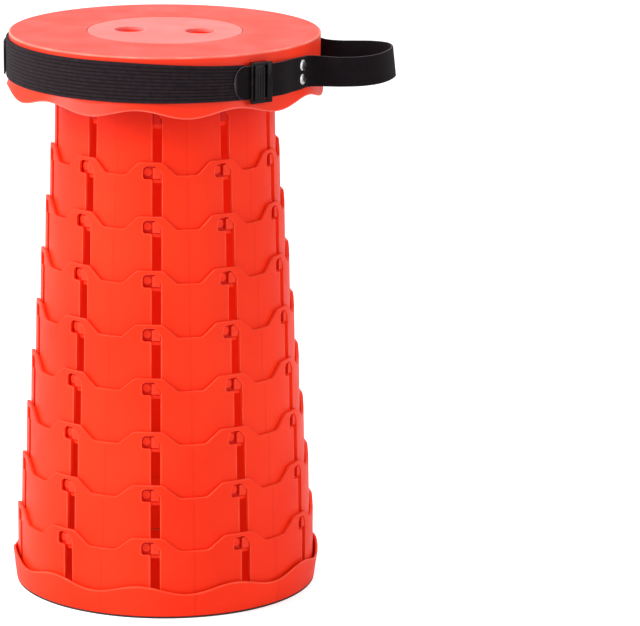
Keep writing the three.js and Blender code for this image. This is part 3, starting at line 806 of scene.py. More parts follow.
def ringCell(radiusAt, foot, lows, footHeights, floorRadius=None, hooked=True, lowTo=None, seatShadowFrom=None):
    # One slot's stretch of a ring: outer skin, edge of the slot, its walls, and the inner skin.
    # Every mesh line starts on the stretch's edge, runs to the slot and returns inside the wall.
    # On the skins a point is edge + (slot - edge) * share, at the slot its azimuth is asin(run / radius).
    fillet = ring["fillet"]
    wall = ring["wall"]
    outerLow, innerLow = lows
    outerFoot, innerFoot = footHeights
    anchors = slotAnchors(outerLow)
    kinds = [anchor[2] for anchor in anchors]
    starts = np.cumsum([0] + [anchor[3] for anchor in anchors])
    footTo = starts[kinds.index("side")]
    topFrom = starts[kinds.index("top")]
    topTo = starts[kinds.index("top") + kinds.count("top")]
    outerSlot = slotSamples(outerLow, hooked)
    innerSlot = slotSamples(innerLow, hooked)
    count = len(outerSlot)
    onTop = slice(topFrom, topTo + 1)
    onRim = np.zeros(count)
    onRim[onTop] = 1.0
    rows = []
    edges = []

    def addSkin(edgeLine, slot, shares, depth, edgeMarks):  # rows from the stretch's edge to the slot
        slotRun, slotHeight = pushedOut(slot, fillet).T
        slotAzimuth = np.degrees(np.arcsin(slotRun / (radiusAt(slotHeight) - depth)))
        for share in shares:
            azimuth = edgeLine[0] + (slotAzimuth - edgeLine[0]) * share
            height = edgeLine[1] + (slotHeight - edgeLine[1]) * share
            rows.append(polar(azimuth, radiusAt(height) - depth, height))
            edges.append(edgeMarks.get(share, np.zeros(count)))

    def addOnSlot(run, height, depth, edge):  # a row on the slot's wall, at a depth under the skin
        radius = radiusAt(height) - depth
        rows.append(polar(np.degrees(np.arcsin(run / radius)), radius, height))
        edges.append(np.full(count, edge))

    depths, rises = roundedEdge(fillet)
    outerEdge = cellEdge(anchors, outerFoot, hooked)
    addSkin(outerEdge, outerSlot, ring["outerShares"], 0.0, {0: onRim, 1: np.ones(count)})
    for depth, rise, edge in zip(depths[1:], rises[1:], (1.0, 1.0, 0.4)):
        addOnSlot(*pushedOut(outerSlot, fillet - rise).T, depth, edge)
    outsideRows = len(rows)
    if floorRadius:
        # The thin skin that closes the slot's lower end behind the lug
        run, height = outerSlot.T
        onFoot = np.arange(count) <= anchors[0][3]
        onFoot[-1] = True
        floorDepth = radiusAt(height) - floorRadius
        addOnSlot(run, height, floorDepth, 0.0)
        innerRun, innerHeight = innerSlot.T
        mixedHeight = np.where(onFoot, innerHeight, (height + innerHeight) / 2)
        onFloor = radiusAt(mixedHeight) - floorRadius
        mixedDepth = np.where(onFoot, onFloor, (floorDepth + wall - fillet) / 2)
        addOnSlot((run + innerRun) / 2, mixedHeight, mixedDepth, 0.0)
    for depth, rise, edge in zip(depths[::-1], rises[::-1], (0.0, 0.6, 0.6, 0.6)):
        addOnSlot(*pushedOut(innerSlot, fillet - rise).T, wall - depth, edge)
    innerEdge = cellEdge(slotAnchors(innerLow), innerFoot, hooked)
    addSkin(innerEdge, innerSlot, ring["innerShares"], wall, {})

    points = np.stack(rows)
    inside = (np.arange(len(rows)) > outsideRows)[:, None]
    marks = {"edge": np.stack(edges), "inside": inside * plasticLook["slotGlow"], "low": 0, "recess": 0}
    # the foot that the next ring's hook shows gets painted shade
    if lowTo:
        low = (lowTo + ring["lowFade"] - points[..., 2]) / ring["lowFade"]
        marks["low"] = np.clip(low, 0, 1) * ~inside
    # painted shade under the seat's skirt, deeper towards the ring's top
    if seatShadowFrom:
        seatShadow = (points[..., 2] - seatShadowFrom) / (ring["height"] - seatShadowFrom)
        marks["recess"] = ring["seatShadowShare"] * np.clip(seatShadow, 0, 1) * ~inside
    skin = patch(points, **marks)

    # Top edge, from the outer skin over the rounded rim to the inner skin
    azimuth, height = outerEdge
    depths, rises = roundedRim()
    rimHeight = height[onTop][None] + rises[:, None]
    rimRadius = radiusAt(rimHeight) - depths[:, None]
    rim = patch(polar(azimuth[onTop][None], rimRadius, rimHeight), edge=1.0)

    # Foot edge, closed by the ring's own foot profile
    footAzimuth = np.concatenate([azimuth[starts[-2]:-1], azimuth[:footTo + 1]])
    return [skin, rim, foot(footAzimuth)]


def looseFoot(radiusAt):
    # A loose ring's foot: the rounded rim turned over, its height fillet - rise
    def build(azimuth):
        depths, rises = roundedRim()
        heights = ring["fillet"] - rises
        radius = radiusAt(heights) - depths
        return patch(polar(azimuth[None], radius[:, None], heights[:, None]), edge=ring["footEdge"])
    return build


def facetDistance(radius):
    # Distance from the axis of the flats that the solid's wall has behind its lugs:
    # the radius times the cosine of one turn over that of the other
    near, far = np.cos(np.radians(ring["flatTurns"]))
    return radius * near / far


def lugPatches(ringRadius, shade):
    # The lug's outline, its shoulder sloped like the head of the slot, carried outwards
    # from the ring, its outer edge rounded and its face closed by a fan
    rootRadius = facetDistance(ringRadius) + lug["rootLift"]
    faceRadius = facetDistance(ringRadius + ring["pitch"]) - lug["faceGap"]
    outline, _ = roundedPath([
        (-lug["half"], lug["foot"], lug["cornerRound"]),
        (lug["half"], lug["foot"], lug["cornerRound"]),
        (lug["half"], lug["top"] - lug["shoulderDrop"], lug["cornerRound"]),
        (lug["shoulderLeft"], lug["top"], lug["cornerRound"]),
        (-lug["half"], lug["top"], lug["topRound"]),
    ], closed=True, arcSteps=5)
    middle = np.broadcast_to((outline.min(0) + outline.max(0)) / 2, outline.shape)
    insets, rises = roundedEdge(lug["round"])
    loops = [middle, outline] + [pushedOut(outline, -inset) for inset in insets] + [middle]
    distances = [rootRadius, rootRadius, *(faceRadius - lug["round"] + rises), faceRadius]
    rows = []
    for loop, distance in zip(loops, distances):
        rows.append(np.stack([loop[:, 0], np.full(len(loop), -distance), loop[:, 1]], axis=-1))
    # painted shade, dark on the side rows and lighter on the face
    recess = np.where(np.arange(len(rows)) < lug["sideRows"], lug["sideShade"], shade)
    return patch(np.stack(rows), edge=np.array(lug["edges"])[:, None], recess=recess[:, None])


def knobPatch(wallRadius):
    # Low round knob beside the lug, filling the hook: rings of points from its foot to its middle,
    # at run + radius * spread * cos and height + radius * spread * sin
    turn = np.radians(fullTurn(24))
    spread = knob["radius"] * np.array(knob["spread"])[:, None]
    distance = wallRadius - knob["sunk"] + np.array(knob["rise"])[:, None] * (knob["sunk"] + knob["proud"])
    run = knob["run"] + spread * np.cos(turn)
    height = knob["height"] + spread * np.sin(turn)
    depth = np.sqrt(distance ** 2 - run ** 2)
    return patch(np.stack([run, -depth, height], axis=-1), edge=np.array(knob["edges"])[:, None])


def telescopingRing(number):
    # A slotted wall that widens downwards by its draft, with a lug and a knob in each column
    node = f"telescoping_ring_{number}"
    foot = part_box(node)[0].z / millimetre
    topRadius = ring["hubRadius"] + number * ring["pitch"]
    isInnermost = number == 1  # its head is hidden by the seat's skirt

    def radiusAt(height):  # of the outer skin, less draft towards the top
        return topRadius + ring["draft"] * (1 - height / ring["height"])

    cell = ringCell(
        radiusAt, looseFoot(radiusAt), (ring["blindTop"], ring["slotFoot"]), (0.0, 0.0),
        floorRadius=facetDistance(topRadius), hooked=not isInnermost, lowTo=ring["lowTo"],
        seatShadowFrom=ring["seatShadowFrom"] if isInnermost else None,
    )
    extras = [lugPatches(topRadius, lug["shade"]), knobPatch(radiusAt(knob["height"]))]
    patches = lifted(allRound(cell + extras), foot)
    makePiece(f"ring{number}", patches, ringOrange, f"ring_{number}", [node])


# Base ring with its rim

base = {
    "radius": 120.18,
    "lift": 6.3,  # height of the rings' common foot line
    "foot": 1.6,
    "slotFoot": 3.4,
    "rimFootRadius": 121.6,
    "rimTopRadius": 124.4,
    "rimLip": 1.8,
    "rimMiddle": 23.7,
    "rimRound": 0.7,
    "footRound": 0.6,
    "channelFloor": 8.2,
    "spacing": 3.5,  # of points on the straight runs
    "waveFrom": 9.2,  # heights between which the rim's wave grows
    "waveTo": 22.5,
}


def baseFoot(azimuth):
    # Channel behind the rim, the rim's wavy edge, its flared outside and the underside
    inner = base["radius"] - ring["wall"]
    path, marks = withRuns(*roundedPath([
        (base["radius"], base["channelFloor"] + ring["fillet"], 0),
        (base["rimTopRadius"] - base["rimLip"], base["rimMiddle"], base["rimRound"]),
        (base["rimTopRadius"], base["rimMiddle"], base["rimRound"]),
        (base["rimFootRadius"], base["foot"], base["footRound"]),
        (inner, base["foot"], 0),
        (inner, base["foot"] + ring["fillet"], 0),
    ], arcSteps=5), spacing=base["spacing"])
    radius, height = path.T[..., None]
    waveShare = np.clip((height - base["waveFrom"]) / (base["waveTo"] - base["waveFrom"]), 0, 1)
    waveShare = np.where(radius < base["radius"] + 0.2, 0, waveShare)
    height = height + waveShare * waveAt(azimuth + columns["slotAzimuth"])[None] - base["lift"]
    onRim = np.isin(marks, [1, 2]).astype(float)[:, None]
    return patch(polar(azimuth[None], radius, height), edge=onRim)


def baseRing():
    # The outermost slotted wall, upright, with the rim as its foot
    def radiusAt(height):
        return base["radius"] + 0.0 * np.asarray(height)

    footHeights = (base["channelFloor"] - base["lift"], base["foot"] - base["lift"])
    cell = ringCell(radiusAt, baseFoot, (base["slotFoot"], base["slotFoot"]), footHeights)
    patches = lifted(allRound(cell), base["lift"])
    makePiece("baseMoulding", patches, ringOrange, "base", ["base_ring"])


footRing = {"inner": 117.9, "outer": 121.3, "height": 1.3, "round": 0.35, "azimuthSteps": 180}


def baseFootRing():
    # Rounded rectangle carried round the axis
    low, high, top, soft = [footRing[name] for name in ("inner", "outer", "height", "round")]
    corners = [(low, 0, soft), (high, 0, soft), (high, top, soft), (low, top, soft)]
    path, _ = roundedPath(corners, closed=True, arcSteps=4)
    patches = [revolve(path, fullTurn(footRing["azimuthSteps"]), inside=path[:, 0] < low + soft)]
    makePiece("groundRing", patches, rubber, "base", ["foot_ring"])


# Seat, its hub ring and cap

seat = {
    "height": 450.0,
    "radius": 123.6,
    "plate": 3.5,
    "skirtOuter": 123.2,
    "skirtInner": 120.7,
    "skirtFoot": 405.2,
    "flareFrom": 414.5,  # below this height the skirt widens to its foot
    "flare": 2.7,
    "waveFrom": 432.0,  # heights between which the wave of the skirt's foot grows
    "waveTo": 408.2,
    "wellOuter": 64.6,
    "wellDepth": 10.0,
    "wellFloor": 3.0,
    "capSeat": 62.0,
    "capLedge": 4.0,
    "ledgeDrop": 3.3,
    "azimuthSteps": 240,
}
screws = {"count": 5, "circle": 72.95, "bossRadius": 4.6, "bossFoot": 441.4, "bossTop": 447.5, "round": 0.5}


def seatShell():
    # The seat's profile from the well's underside over the skirt to the well's floor, carried round
    top = seat["height"]
    underside = top - seat["plate"]
    wellTop = top - seat["wellDepth"]
    wellBottom = wellTop - seat["wellFloor"]
    ledge = top - seat["ledgeDrop"]
    innerLedge = seat["capSeat"] - seat["capLedge"]
    corners = np.array([  # radius, height, rounding and paleness
        (0, wellBottom, 0, 0),
        (seat["wellOuter"], wellBottom, 0.8, 0),
        (seat["wellOuter"], underside, 0.8, 0),
        (seat["skirtInner"], underside, 1.5, 0),
        (seat["skirtInner"], seat["flareFrom"], 0, 0),
        (seat["skirtInner"] + seat["flare"], seat["skirtFoot"], 0.5, 0.8),
        (seat["skirtOuter"] + seat["flare"], seat["skirtFoot"], 0.5, 1),
        (seat["skirtOuter"], seat["flareFrom"], 0, 0),
        # the lip's paleness of 2 is a painted highlight line along it
        (seat["radius"], top, 0.9, 2),
        (seat["capSeat"], top, 0.5, 0.35),
        (seat["capSeat"], ledge, 0.2, 0),
        (innerLedge, ledge, 0.4, 0.35),
        (innerLedge, wellTop, 0.8, 0),
        (0, wellTop, 0, 0),
    ])
    path, marks = withRuns(*roundedPath(corners, arcSteps=4))
    edge = np.where(marks >= 0, corners[marks, 3], 0)
    radius, height = path.T
    waveShare = np.clip((seat["waveFrom"] - height) / (seat["waveFrom"] - seat["waveTo"]), 0, 1)
    # the well's inside is marked to glow: painted light that brightens the finger holes
    inWell = (radius < seat["capSeat"] - 1) & (height > wellTop - 1) & (height < ledge - 1)
    shell = revolve(path, fullTurn(seat["azimuthSteps"]), waveShare, edge, inWell)
    patches = [shell] + [screwBoss(index) for index in range(screws["count"])]
    makePiece("seatMoulding", patches, shellOrange, "seat", ["seat_top"])


def screwBoss(index):
    # Short post under the seat plate for a hub screw: its profile turned about the screw's axis
    post = turnedProfile([
        (0, screws["bossTop"], 0),
        (screws["bossRadius"], screws["bossTop"], 0),
        (screws["bossRadius"], screws["bossFoot"], screws["round"]),
        (0, screws["bossFoot"], 0),
    ], 3, 24)
    axis = polar(index * 360 / screws["count"], screws["circle"], 0.0)
    return patch(np.stack(post, axis=-1) + axis, edge=0.0)


hub = {
    "foot": 387.0,
    "top": 446.2,
    "flangeTop": 441.1,
    "flange": 2.6,
    "flangeInner": 65.4,
    "round": 0.4,
    "azimuthSteps": 180,
}


def hubRing():
    # The innermost wall with the flange that the screws hold, carried round, and its lugs
    outer = ring["hubRadius"]
    inner = outer - ring["wall"]
    soft = hub["round"]
    flangeFoot = hub["flangeTop"] - hub["flange"]
    path, _ = roundedPath([
        (inner + ring["draft"], hub["foot"], soft),
        (outer + ring["draft"], hub["foot"], soft),
        (outer, hub["top"], soft),
        (inner, hub["top"], soft),
        (inner, hub["flangeTop"], 3 * soft),
        (hub["flangeInner"], hub["flangeTop"], soft),
        (hub["flangeInner"], flangeFoot, soft),
        (inner, flangeFoot, 1.5),
    ], closed=True, arcSteps=4)
    shell = revolve(path, fullTurn(hub["azimuthSteps"]))
    lugs = lifted(allRound([lugPatches(outer, lug["hiddenShade"])]), hub["foot"])
    makePiece("hubMoulding", [shell] + lugs, ringOrange, "seat", ["hub_ring"])


cap = {
    "radius": 61.5,
    "thickness": 3.0,
    "holeRadius": 12.0,
    "holeOffset": 28.0,
    "turn": -7.0,
    "fillet": 0.7,
    "arcSteps": 84,
    "middleSteps": 36,
    "rimEdge": 0.7,  # paleness of the rim and of the holes' edges
    "filletEdge": 0.9,
    "sideEdges": (0.9, 0.9, 0.9, 0.5, 0.0),
    "topShares": (0, 0.03, 0.12, 0.3, 0.5, 0.7, 0.86, 0.95, 1),  # from the edge to the hole
    "underShares": (0.8, 0.5, 0.2, 0),
}


def capHalf(side):
    # Half the disc round one finger hole: mesh lines run from the half's edge to the hole,
    # down its wall and back under the plate, at outside + (hole - outside) * share
    radius = cap["radius"]
    corner = math.atan2(radius, -cap["holeOffset"])
    arc = np.linspace(-math.pi / 2, math.pi / 2, cap["arcSteps"] + 1)
    chord = np.linspace(radius, -radius, cap["middleSteps"] + 1)
    onArc = np.concatenate([np.ones(len(arc)), np.zeros(len(chord) - 1)])
    onArc[-1] = 1
    edgeX = np.concatenate([np.cos(arc), np.zeros(len(chord) - 1)])
    edgeX[0] = edgeX[len(arc) - 1] = edgeX[-1] = 0
    edgeY = np.concatenate([np.sin(arc), chord[1:] / radius])
    holeTurn = np.concatenate([np.linspace(-corner, corner, len(arc)),
                               np.linspace(corner, 2 * math.pi - corner, len(chord))[1:]])
    top = seat["height"]
    bottom = top - cap["thickness"]
    fillet = cap["fillet"]

    def row(share, inset, grow, height):  # one ring of points round the half and its hole
        outside = np.stack([edgeX, edgeY]) * (radius - inset)
        hole = np.stack([np.cos(holeTurn), np.sin(holeTurn)]) * (cap["holeRadius"] + grow)
        hole[0] += cap["holeOffset"]
        x, y = outside + (hole - outside) * share
        return np.stack([side * x, side * y, np.full(len(x), height)], axis=-1)

    rows = []
    edges = []
    everywhere = np.ones(len(holeTurn))
    edgeMarks = {0: onArc * (np.abs(edgeX) > 1e-6), 1: everywhere}
    for share in cap["topShares"]:
        rows.append(row(share, fillet, fillet, top))
        edges.append(cap["rimEdge"] * edgeMarks.get(share, 0 * everywhere))
    depths, rises = roundedEdge(fillet)
    for depth, rise in zip(depths[1:], rises[1:]):
        rows.append(row(1, fillet, fillet - rise, top - depth))
        edges.append(cap["filletEdge"] * everywhere)
    rows.append(row(1, fillet, 0, bottom))
    for share in cap["underShares"]:
        rows.append(row(share, 0, 0, bottom))
    edges += [0 * everywhere] * (len(rows) - len(edges))
    plate = patch(np.stack(rows), edge=np.stack(edges))
    rimRows = [row(0, fillet - rise, 0, top - depth) for depth, rise in zip(depths, rises)]
    rim = np.stack(rimRows + [row(0, 0, 0, bottom)])[:, :len(arc)]
    return [plate, patch(rim, edge=np.array(cap["sideEdges"])[:, None])]


def centreCap():
    # Two halves, welded along the chord between them
    patches = []
    for side in (1, -1):
        patches += turnedRound(capHalf(side), cap["turn"])
    makePiece("capPlate", patches, capOrange, "seat", ["centre_cap"])


# Elastic band, webbing strap, buckle and rivets

band = {
    "foot": 414.5,
    "topLeft": 445.8,
    "topRight": 441.1,
    "slopeFrom": -22.0,  # the upper edge sinks between these azimuths
    "slopeTo": 40.0,
    "neckWidth": 23.4,
    "neckFrom": 29.4,
    "neckTo": 30.4,
    "thickness": 2.3,
    "radius": 124.85,
    "start": -108.0,
    "end": 34.2,
    "ribs": 11,
    "ribDepth": 0.34,
    "ribPower": 0.7,  # under 1 makes the cords fuller
    "ribSteps": 12,
    "backSteps": 8,  # outside points to each one on the inside
    "roundShare": 0.95,  # of the half width, from where the edge is rounded
    "edgeThickness": 0.35,
    "edgeFrom": 0.96,
    "azimuthSteps": (190, 8),
}


def bandTop(azimuth):
    # Height of the band's upper edge, which sinks towards the buckle
    share = smoothShare(azimuth, band["slopeFrom"], band["slopeTo"])
    return band["topLeft"] + (band["topRight"] - band["topLeft"]) * share


def elasticBand():
    # A flat band carried round the seat; its outside is a row of cords, |sin| across the width
    half = band["thickness"] / 2
    thin = band["edgeThickness"]
    acrossShare = np.linspace(-1, 1, band["ribSteps"] * band["ribs"] + 1)
    ribs = np.abs(np.sin((acrossShare + 1) / 2 * math.pi * band["ribs"])) ** band["ribPower"]
    nearEdge = np.clip((np.abs(acrossShare) - band["roundShare"]) / (1 - band["roundShare"]), 0, 1)
    edgeRound = np.sqrt(np.clip(1 - nearEdge ** 2, 0, 1))
    outside = (half - band["ribDepth"] * (1 - ribs)) * (thin + (1 - thin) * edgeRound)
    inside = acrossShare[::-band["backSteps"]]
    across = np.concatenate([acrossShare, inside, acrossShare[:1]])
    depth = np.concatenate([outside, np.full(len(inside), -half), outside[:1]])
    bandSteps, neckSteps = band["azimuthSteps"]
    azimuths = np.concatenate([
        [band["start"]],
        np.linspace(band["start"], band["neckFrom"], bandSteps),
        np.linspace(band["neckTo"], band["end"], neckSteps),
        [band["end"]],
    ])
    ends = np.ones(len(azimuths))
    ends[[0, -1]] = 0
    top = bandTop(azimuths)
    neck = smoothShare(azimuths, band["neckFrom"], band["neckTo"])
    width = (top - band["foot"]) * (1 - neck) + band["neckWidth"] * neck
    middle = (top + band["foot"]) / 2 * (1 - neck) + strap["middle"] * neck
    height = middle[:, None] + across[None] * (width / 2 * ends)[:, None]
    radius = band["radius"] + depth[None] * ends[:, None]
    sheet = patch(
        polar(azimuths[:, None], radius, height),
        along=np.radians(azimuths)[:, None] * band["radius"],
        across=across[None] * width[:, None] / 2,
        edge=(np.abs(across) > band["edgeFrom"])[None],
        cord=((across + 1) / 2 * band["ribs"])[None],
    )
    makePiece("elasticBand", [sheet], elastic, "seat", ["elastic_band"], 60)


strap = {
    "width": 26.4,
    "loopWidth": 23.6,
    "lean": 1.3,  # of the loop, its lower edge outwards
    "thickness": 1.5,
    "middle": 427.8,  # height of its middle line at the tail
    "loopMiddle": 427.4,
    "returnMiddle": 429.7,  # where the loop comes back to the seat
    "endMiddle": 428.4,
    "innerRadius": 124.35,
    "outerRadius": 127.05,
    "tail": 24.7,
    "tailRound": 9.0,
    "tailHalf": 0.6,  # half the width at the very end
    "tailWear": 2.0,
    "slope": (44.0, 54.0),  # azimuths between which it comes down from the band to the skirt
    "fall": (44.0, 62.0),
    "exit": 62.0,
    "return": 98.0,
    "joinSlope": (240.0, 251.0),
    "end": 272.0,
    "narrowing": (55.0, 115.0),  # along the strap from its tail
    "widening": (240.0, 300.0),
    "rise": (1.0, 5.0),  # points of the loop between which it rises
    "reach": 55.6,
    "seatRadius": 125.0,
    "loop": [
        (0.25, -0.025), (0.5, 0.007), (0.74, 0.112), (0.92, 0.296), (1, 0.505), (0.94, 0.682),
        (0.74, 0.778), (0.5, 0.793), (0.26, 0.801), (0.1, 0.85),
    ],
    "step": 1.1,
    "flatSteps": 17,
    "flatShare": 0.97,
    "turnShares": (0.99, 1.0, 0.99),  # of the half width, round the edge
    "turnDepths": (-0.7, 0, 0.7),
    "edgeFrom": 0.98,
}


def strapRadius(azimuth):
    # Over the band at its two ends, down on the skirt between them
    lift = strap["outerRadius"] - strap["innerRadius"]
    offBand = smoothShare(azimuth, *strap["slope"])
    ontoBand = smoothShare(azimuth, *strap["joinSlope"])
    return strap["outerRadius"] - lift * offBand + lift * ontoBand


def strapMiddle(azimuth):
    # Height of the webbing's middle line: tail, carrying loop, then up to its end behind the seat
    toLoop = smoothShare(azimuth, *strap["fall"]) * (strap["loopMiddle"] - strap["middle"])
    overLoop = np.where(azimuth >= strap["return"], strap["returnMiddle"] - strap["loopMiddle"], 0.0)
    backShare = smoothShare(azimuth, strap["return"], strap["joinSlope"][1])
    return strap["middle"] + toLoop + overLoop + backShare * (strap["endMiddle"] - strap["returnMiddle"])


def strapPath():
    # Middle line of the webbing: round the seat, out into the loop, back and round behind
    front = np.arange(strap["tail"], strap["exit"], 1.0)
    back = np.arange(strap["return"], strap["end"] + 0.5, 1.0)
    frontPoints = polar(front, strapRadius(front), strapMiddle(front))
    backPoints = polar(back, strapRadius(back), strapMiddle(back))
    exitY = polar(strap["exit"], strap["innerRadius"], 0)[1]
    outShare, backwardShare = np.array(strap["loop"]).T
    rise = smoothShare(np.arange(len(outShare)), *strap["rise"])
    loop = np.stack([
        strap["seatRadius"] + outShare * strap["reach"],
        exitY + backwardShare * (backPoints[0, 1] - exitY),
        strap["loopMiddle"] + (strap["returnMiddle"] - strap["loopMiddle"]) * rise,
    ], axis=-1)
    fine = splineThrough(np.concatenate([frontPoints, loop, backPoints]), 12)
    run = runAlong(fine)
    stops = np.linspace(0, run[-1], int(run[-1] / strap["step"]) + 1)
    return pointsAt(stops, run, fine), stops


def splineThrough(knots, steps):
    # Smooth curve through the knots: each span is a cubic whose end slopes are those between
    # the neighbours of its ends, divided by their distance
    run = runAlong(knots)
    gaps = np.diff(run)[:, None, None]
    slopes = np.gradient(knots, run, axis=0)
    share = np.arange(steps)[None, :, None] / steps
    start, end = knots[:-1, None], knots[1:, None]
    first, second = slopes[:-1, None] * gaps, slopes[1:, None] * gaps
    curve = (
        (2 * share ** 3 - 3 * share ** 2 + 1) * start
        + (share ** 3 - 2 * share ** 2 + share) * first
        + (-2 * share ** 3 + 3 * share ** 2) * end
        + (share ** 3 - share ** 2) * second
    )
    return np.concatenate([curve.reshape(-1, 3), knots[-1:]])


def webbingStrap():
    # A flat section with softened edges carried along the path: the point is
    # path + side * depth + up * across, and the tail narrows as an ellipse
    path, run = strapPath()
    ahead = np.gradient(path, axis=0)
    ahead[:, 2] = 0
    ahead = ahead / np.linalg.norm(ahead, axis=1, keepdims=True)
    side = np.stack([ahead[:, 1], -ahead[:, 0], np.zeros(len(ahead))], axis=-1)
    half = strap["thickness"] / 2
    flat = np.linspace(-strap["flatShare"], strap["flatShare"], strap["flatSteps"])
    turn = np.array(strap["turnShares"])
    turnDepth = np.array(strap["turnDepths"]) * half
    face = np.full(len(flat), half)
    across = np.concatenate([flat, turn, flat[::-1], -turn, flat[:1]])
    depth = np.concatenate([-face, turnDepth, face, -turnDepth, [-half]])
    tailShare = np.clip(run / strap["tailRound"], 0, 1)
    narrowed = smoothShare(run, *strap["narrowing"]) - smoothShare(run, *strap["widening"])
    width = strap["width"] + (strap["loopWidth"] - strap["width"]) * narrowed
    width = np.maximum(width / 2 * np.sqrt(1 - (1 - tailShare) ** 2), strap["tailHalf"])
    path, side, run = [np.concatenate([values[:1], values, values[-1:]]) for values in (path, side, run)]
    halfWidth = np.concatenate([[0], width, [0]])[:, None]
    thick = np.ones((len(path), 1))
    thick[[0, -1]] = 0
    outAtLoop = smoothShare(path[:, :1], strap["seatRadius"], strap["seatRadius"] + strap["reach"])
    lean = outAtLoop * strap["lean"]
    points = path[:, None] + side[:, None] * (depth * thick)[..., None]
    points[..., 0] -= across * lean
    points[..., 2] += across * halfWidth
    edge = np.maximum(np.abs(across) > strap["edgeFrom"], np.clip(1 - run / strap["tailWear"], 0, 1)[:, None])
    sheet = patch(points, along=run[:, None], across=across * halfWidth, edge=edge)
    makePiece("webbingStrap", [sheet], webbing, "seat", ["webbing_strap"], 50)


buckle = {
    "azimuth": 35.0,
    "middle": 427.4,
    "width": 20.2,
    "windowHalf": 13.6,
    "rail": 2.4,
    "railInset": 0.1,  # keeps the rails' corners off those of the bars
    "edgeBar": 2.0,
    "narrowWindow": 1.4,
    "gripBar": 9.6,
    "gripDrop": 0.3,
    "wideWindow": 2.1,
    "front": 128.1,
    "thickness": 2.1,
    "back": 124.1,
    "legInset": 3.0,
    "legDrop": 0.6,
    "lowBarWidth": 2.4,
    "lowBarOffset": 1.4,
    "lowBarThickness": 1.4,
    "ridges": 6,
    "ridgeWidth": 0.6,  # of their pitch
    "ridgeShort": 1.5,
    "ridgeHeight": 0.25,
    "ridgeDepth": 0.9,
    "ridgeRound": 0.4,
    "ridgeEdge": 0.7,  # paleness
    "round": 0.7,
    "smallRound": 0.5,
}


def strapBuckle():
    # Soft blocks: two edge bars, the grip bar, two rails with legs, the bar behind, and ridges
    half = buckle["width"] / 2
    window = buckle["windowHalf"]
    tall = window + buckle["rail"]
    middle = buckle["middle"]
    front = buckle["front"]
    back = buckle["back"]
    face = front + buckle["thickness"]
    narrowLeft = buckle["edgeBar"] - half
    gripLeft = narrowLeft + buckle["narrowWindow"]
    gripRight = gripLeft + buckle["gripBar"]
    inset = buckle["railInset"]
    patches = []

    def addBlock(left, right, low, high, inner, outer, rounding, edge=0.0):
        # Runs from left to right, from low to high about the middle, radii from inner to outer
        low, high = sorted((low, high))
        corners = (left, middle + low, inner), (right, middle + high, outer)
        patches.append(blockPatch(*corners, rounding, buckle["azimuth"], edge))

    soft = buckle["round"]
    small = buckle["smallRound"]
    addBlock(-half, narrowLeft, -tall, tall, front, face, soft)
    addBlock(gripRight + buckle["wideWindow"], half, -tall, tall, front, face, soft)
    addBlock(gripLeft, gripRight, -tall, tall, front, face - buckle["gripDrop"], soft)
    for side in (1, -1):
        railEnd = side * (tall - inset)
        addBlock(inset - half, half - inset, side * window, railEnd, front + inset, face - inset, soft)
        leg = half - buckle["legInset"]
        addBlock(-leg, leg, side * window, side * tall, back, face - buckle["legDrop"], small)
    lowLeft = buckle["lowBarOffset"] - buckle["lowBarWidth"] / 2
    lowRight = lowLeft + buckle["lowBarWidth"]
    addBlock(lowLeft, lowRight, -tall, tall, back, back + buckle["lowBarThickness"], small)
    pitch = buckle["gripBar"] / buckle["ridges"]
    ridge = window - buckle["ridgeShort"]
    ridgeFoot = face - buckle["ridgeDepth"]
    ridgeTop = face + buckle["ridgeHeight"]
    for index in range(buckle["ridges"]):
        left = gripLeft + (index + (1 - buckle["ridgeWidth"]) / 2) * pitch
        right = left + buckle["ridgeWidth"] * pitch
        addBlock(left, right, -ridge, ridge, ridgeFoot, ridgeTop, buckle["ridgeRound"], buckle["ridgeEdge"])
    makePiece("strapBuckle", patches, buckleBlack, "seat", ["strap_buckle"])


rivet = {
    "spacing": 10.8,
    "headRadius": 4.4,
    "headHeight": 1.4,
    "rolledHeight": 0.45,
    "shoulder": (3.7, 1.12),
    "crownRadius": 2.0,
    "shankRadius": 1.6,
    "footRadius": 3.0,
    "footHeights": (-2.2, -1.6),
}
rivetPairs = {
    "right": {"azimuth": 58.8, "middle": 428.1, "start": 125.2},
    "left": {"azimuth": -100.0, "middle": 428.4, "start": 127.95},
}


def strapRivet(name, node, azimuth, start, height):
    # Domed head with a rolled edge, on a shank that ends in the skirt: its profile of (radius,
    # distance from the axis of the stool) turned about the rivet's own axis
    low, high = rivet["footHeights"]
    run, rise, distance = turnedProfile([
        (0, start + low, 0),
        (rivet["footRadius"], start + low, 0.2),
        (rivet["footRadius"], start + high, 0.2),
        (rivet["shankRadius"], start + high, 0.1),
        (rivet["shankRadius"], start, 0.1),
        (rivet["headRadius"], start, 0.2),
        (rivet["headRadius"], start + rivet["rolledHeight"], 0.4),
        (rivet["shoulder"][0], start + rivet["shoulder"][1], 1.5),
        (rivet["crownRadius"], start + rivet["headHeight"], 2.0),
        (0, start + rivet["headHeight"], 0),
    ], 4, 32)
    points = np.stack([run, -distance, height + rise], axis=-1)
    placed = turnedRound([patch(points, edge=0.0)], azimuth)
    makePiece(name, placed, steel, "seat", [node])


# Everything is built here

baseRing()
baseFootRing()
for ringNumber in range(ring["looseCount"], 0, -1):
    telescopingRing(ringNumber)
hubRing()
seatShell()
centreCap()
elasticBand()
webbingStrap()
strapBuckle()
for sideName, pair in rivetPairs.items():
    for levelName, shift in (("upper", 0.5), ("lower", -0.5)):
        height = pair["middle"] + shift * rivet["spacing"]
        strapRivet(f"{sideName}{levelName.capitalize()}Rivet", f"{sideName}_{levelName}_rivet",
                   pair["azimuth"], pair["start"], height)
for index in range(screws["count"]):
    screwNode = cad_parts[f"hub_screw_{index + 1}"]
    screwNode.data.materials.clear()
    screwNode.data.materials.append(steel)
print("pieces made")


# Floor, light and camera

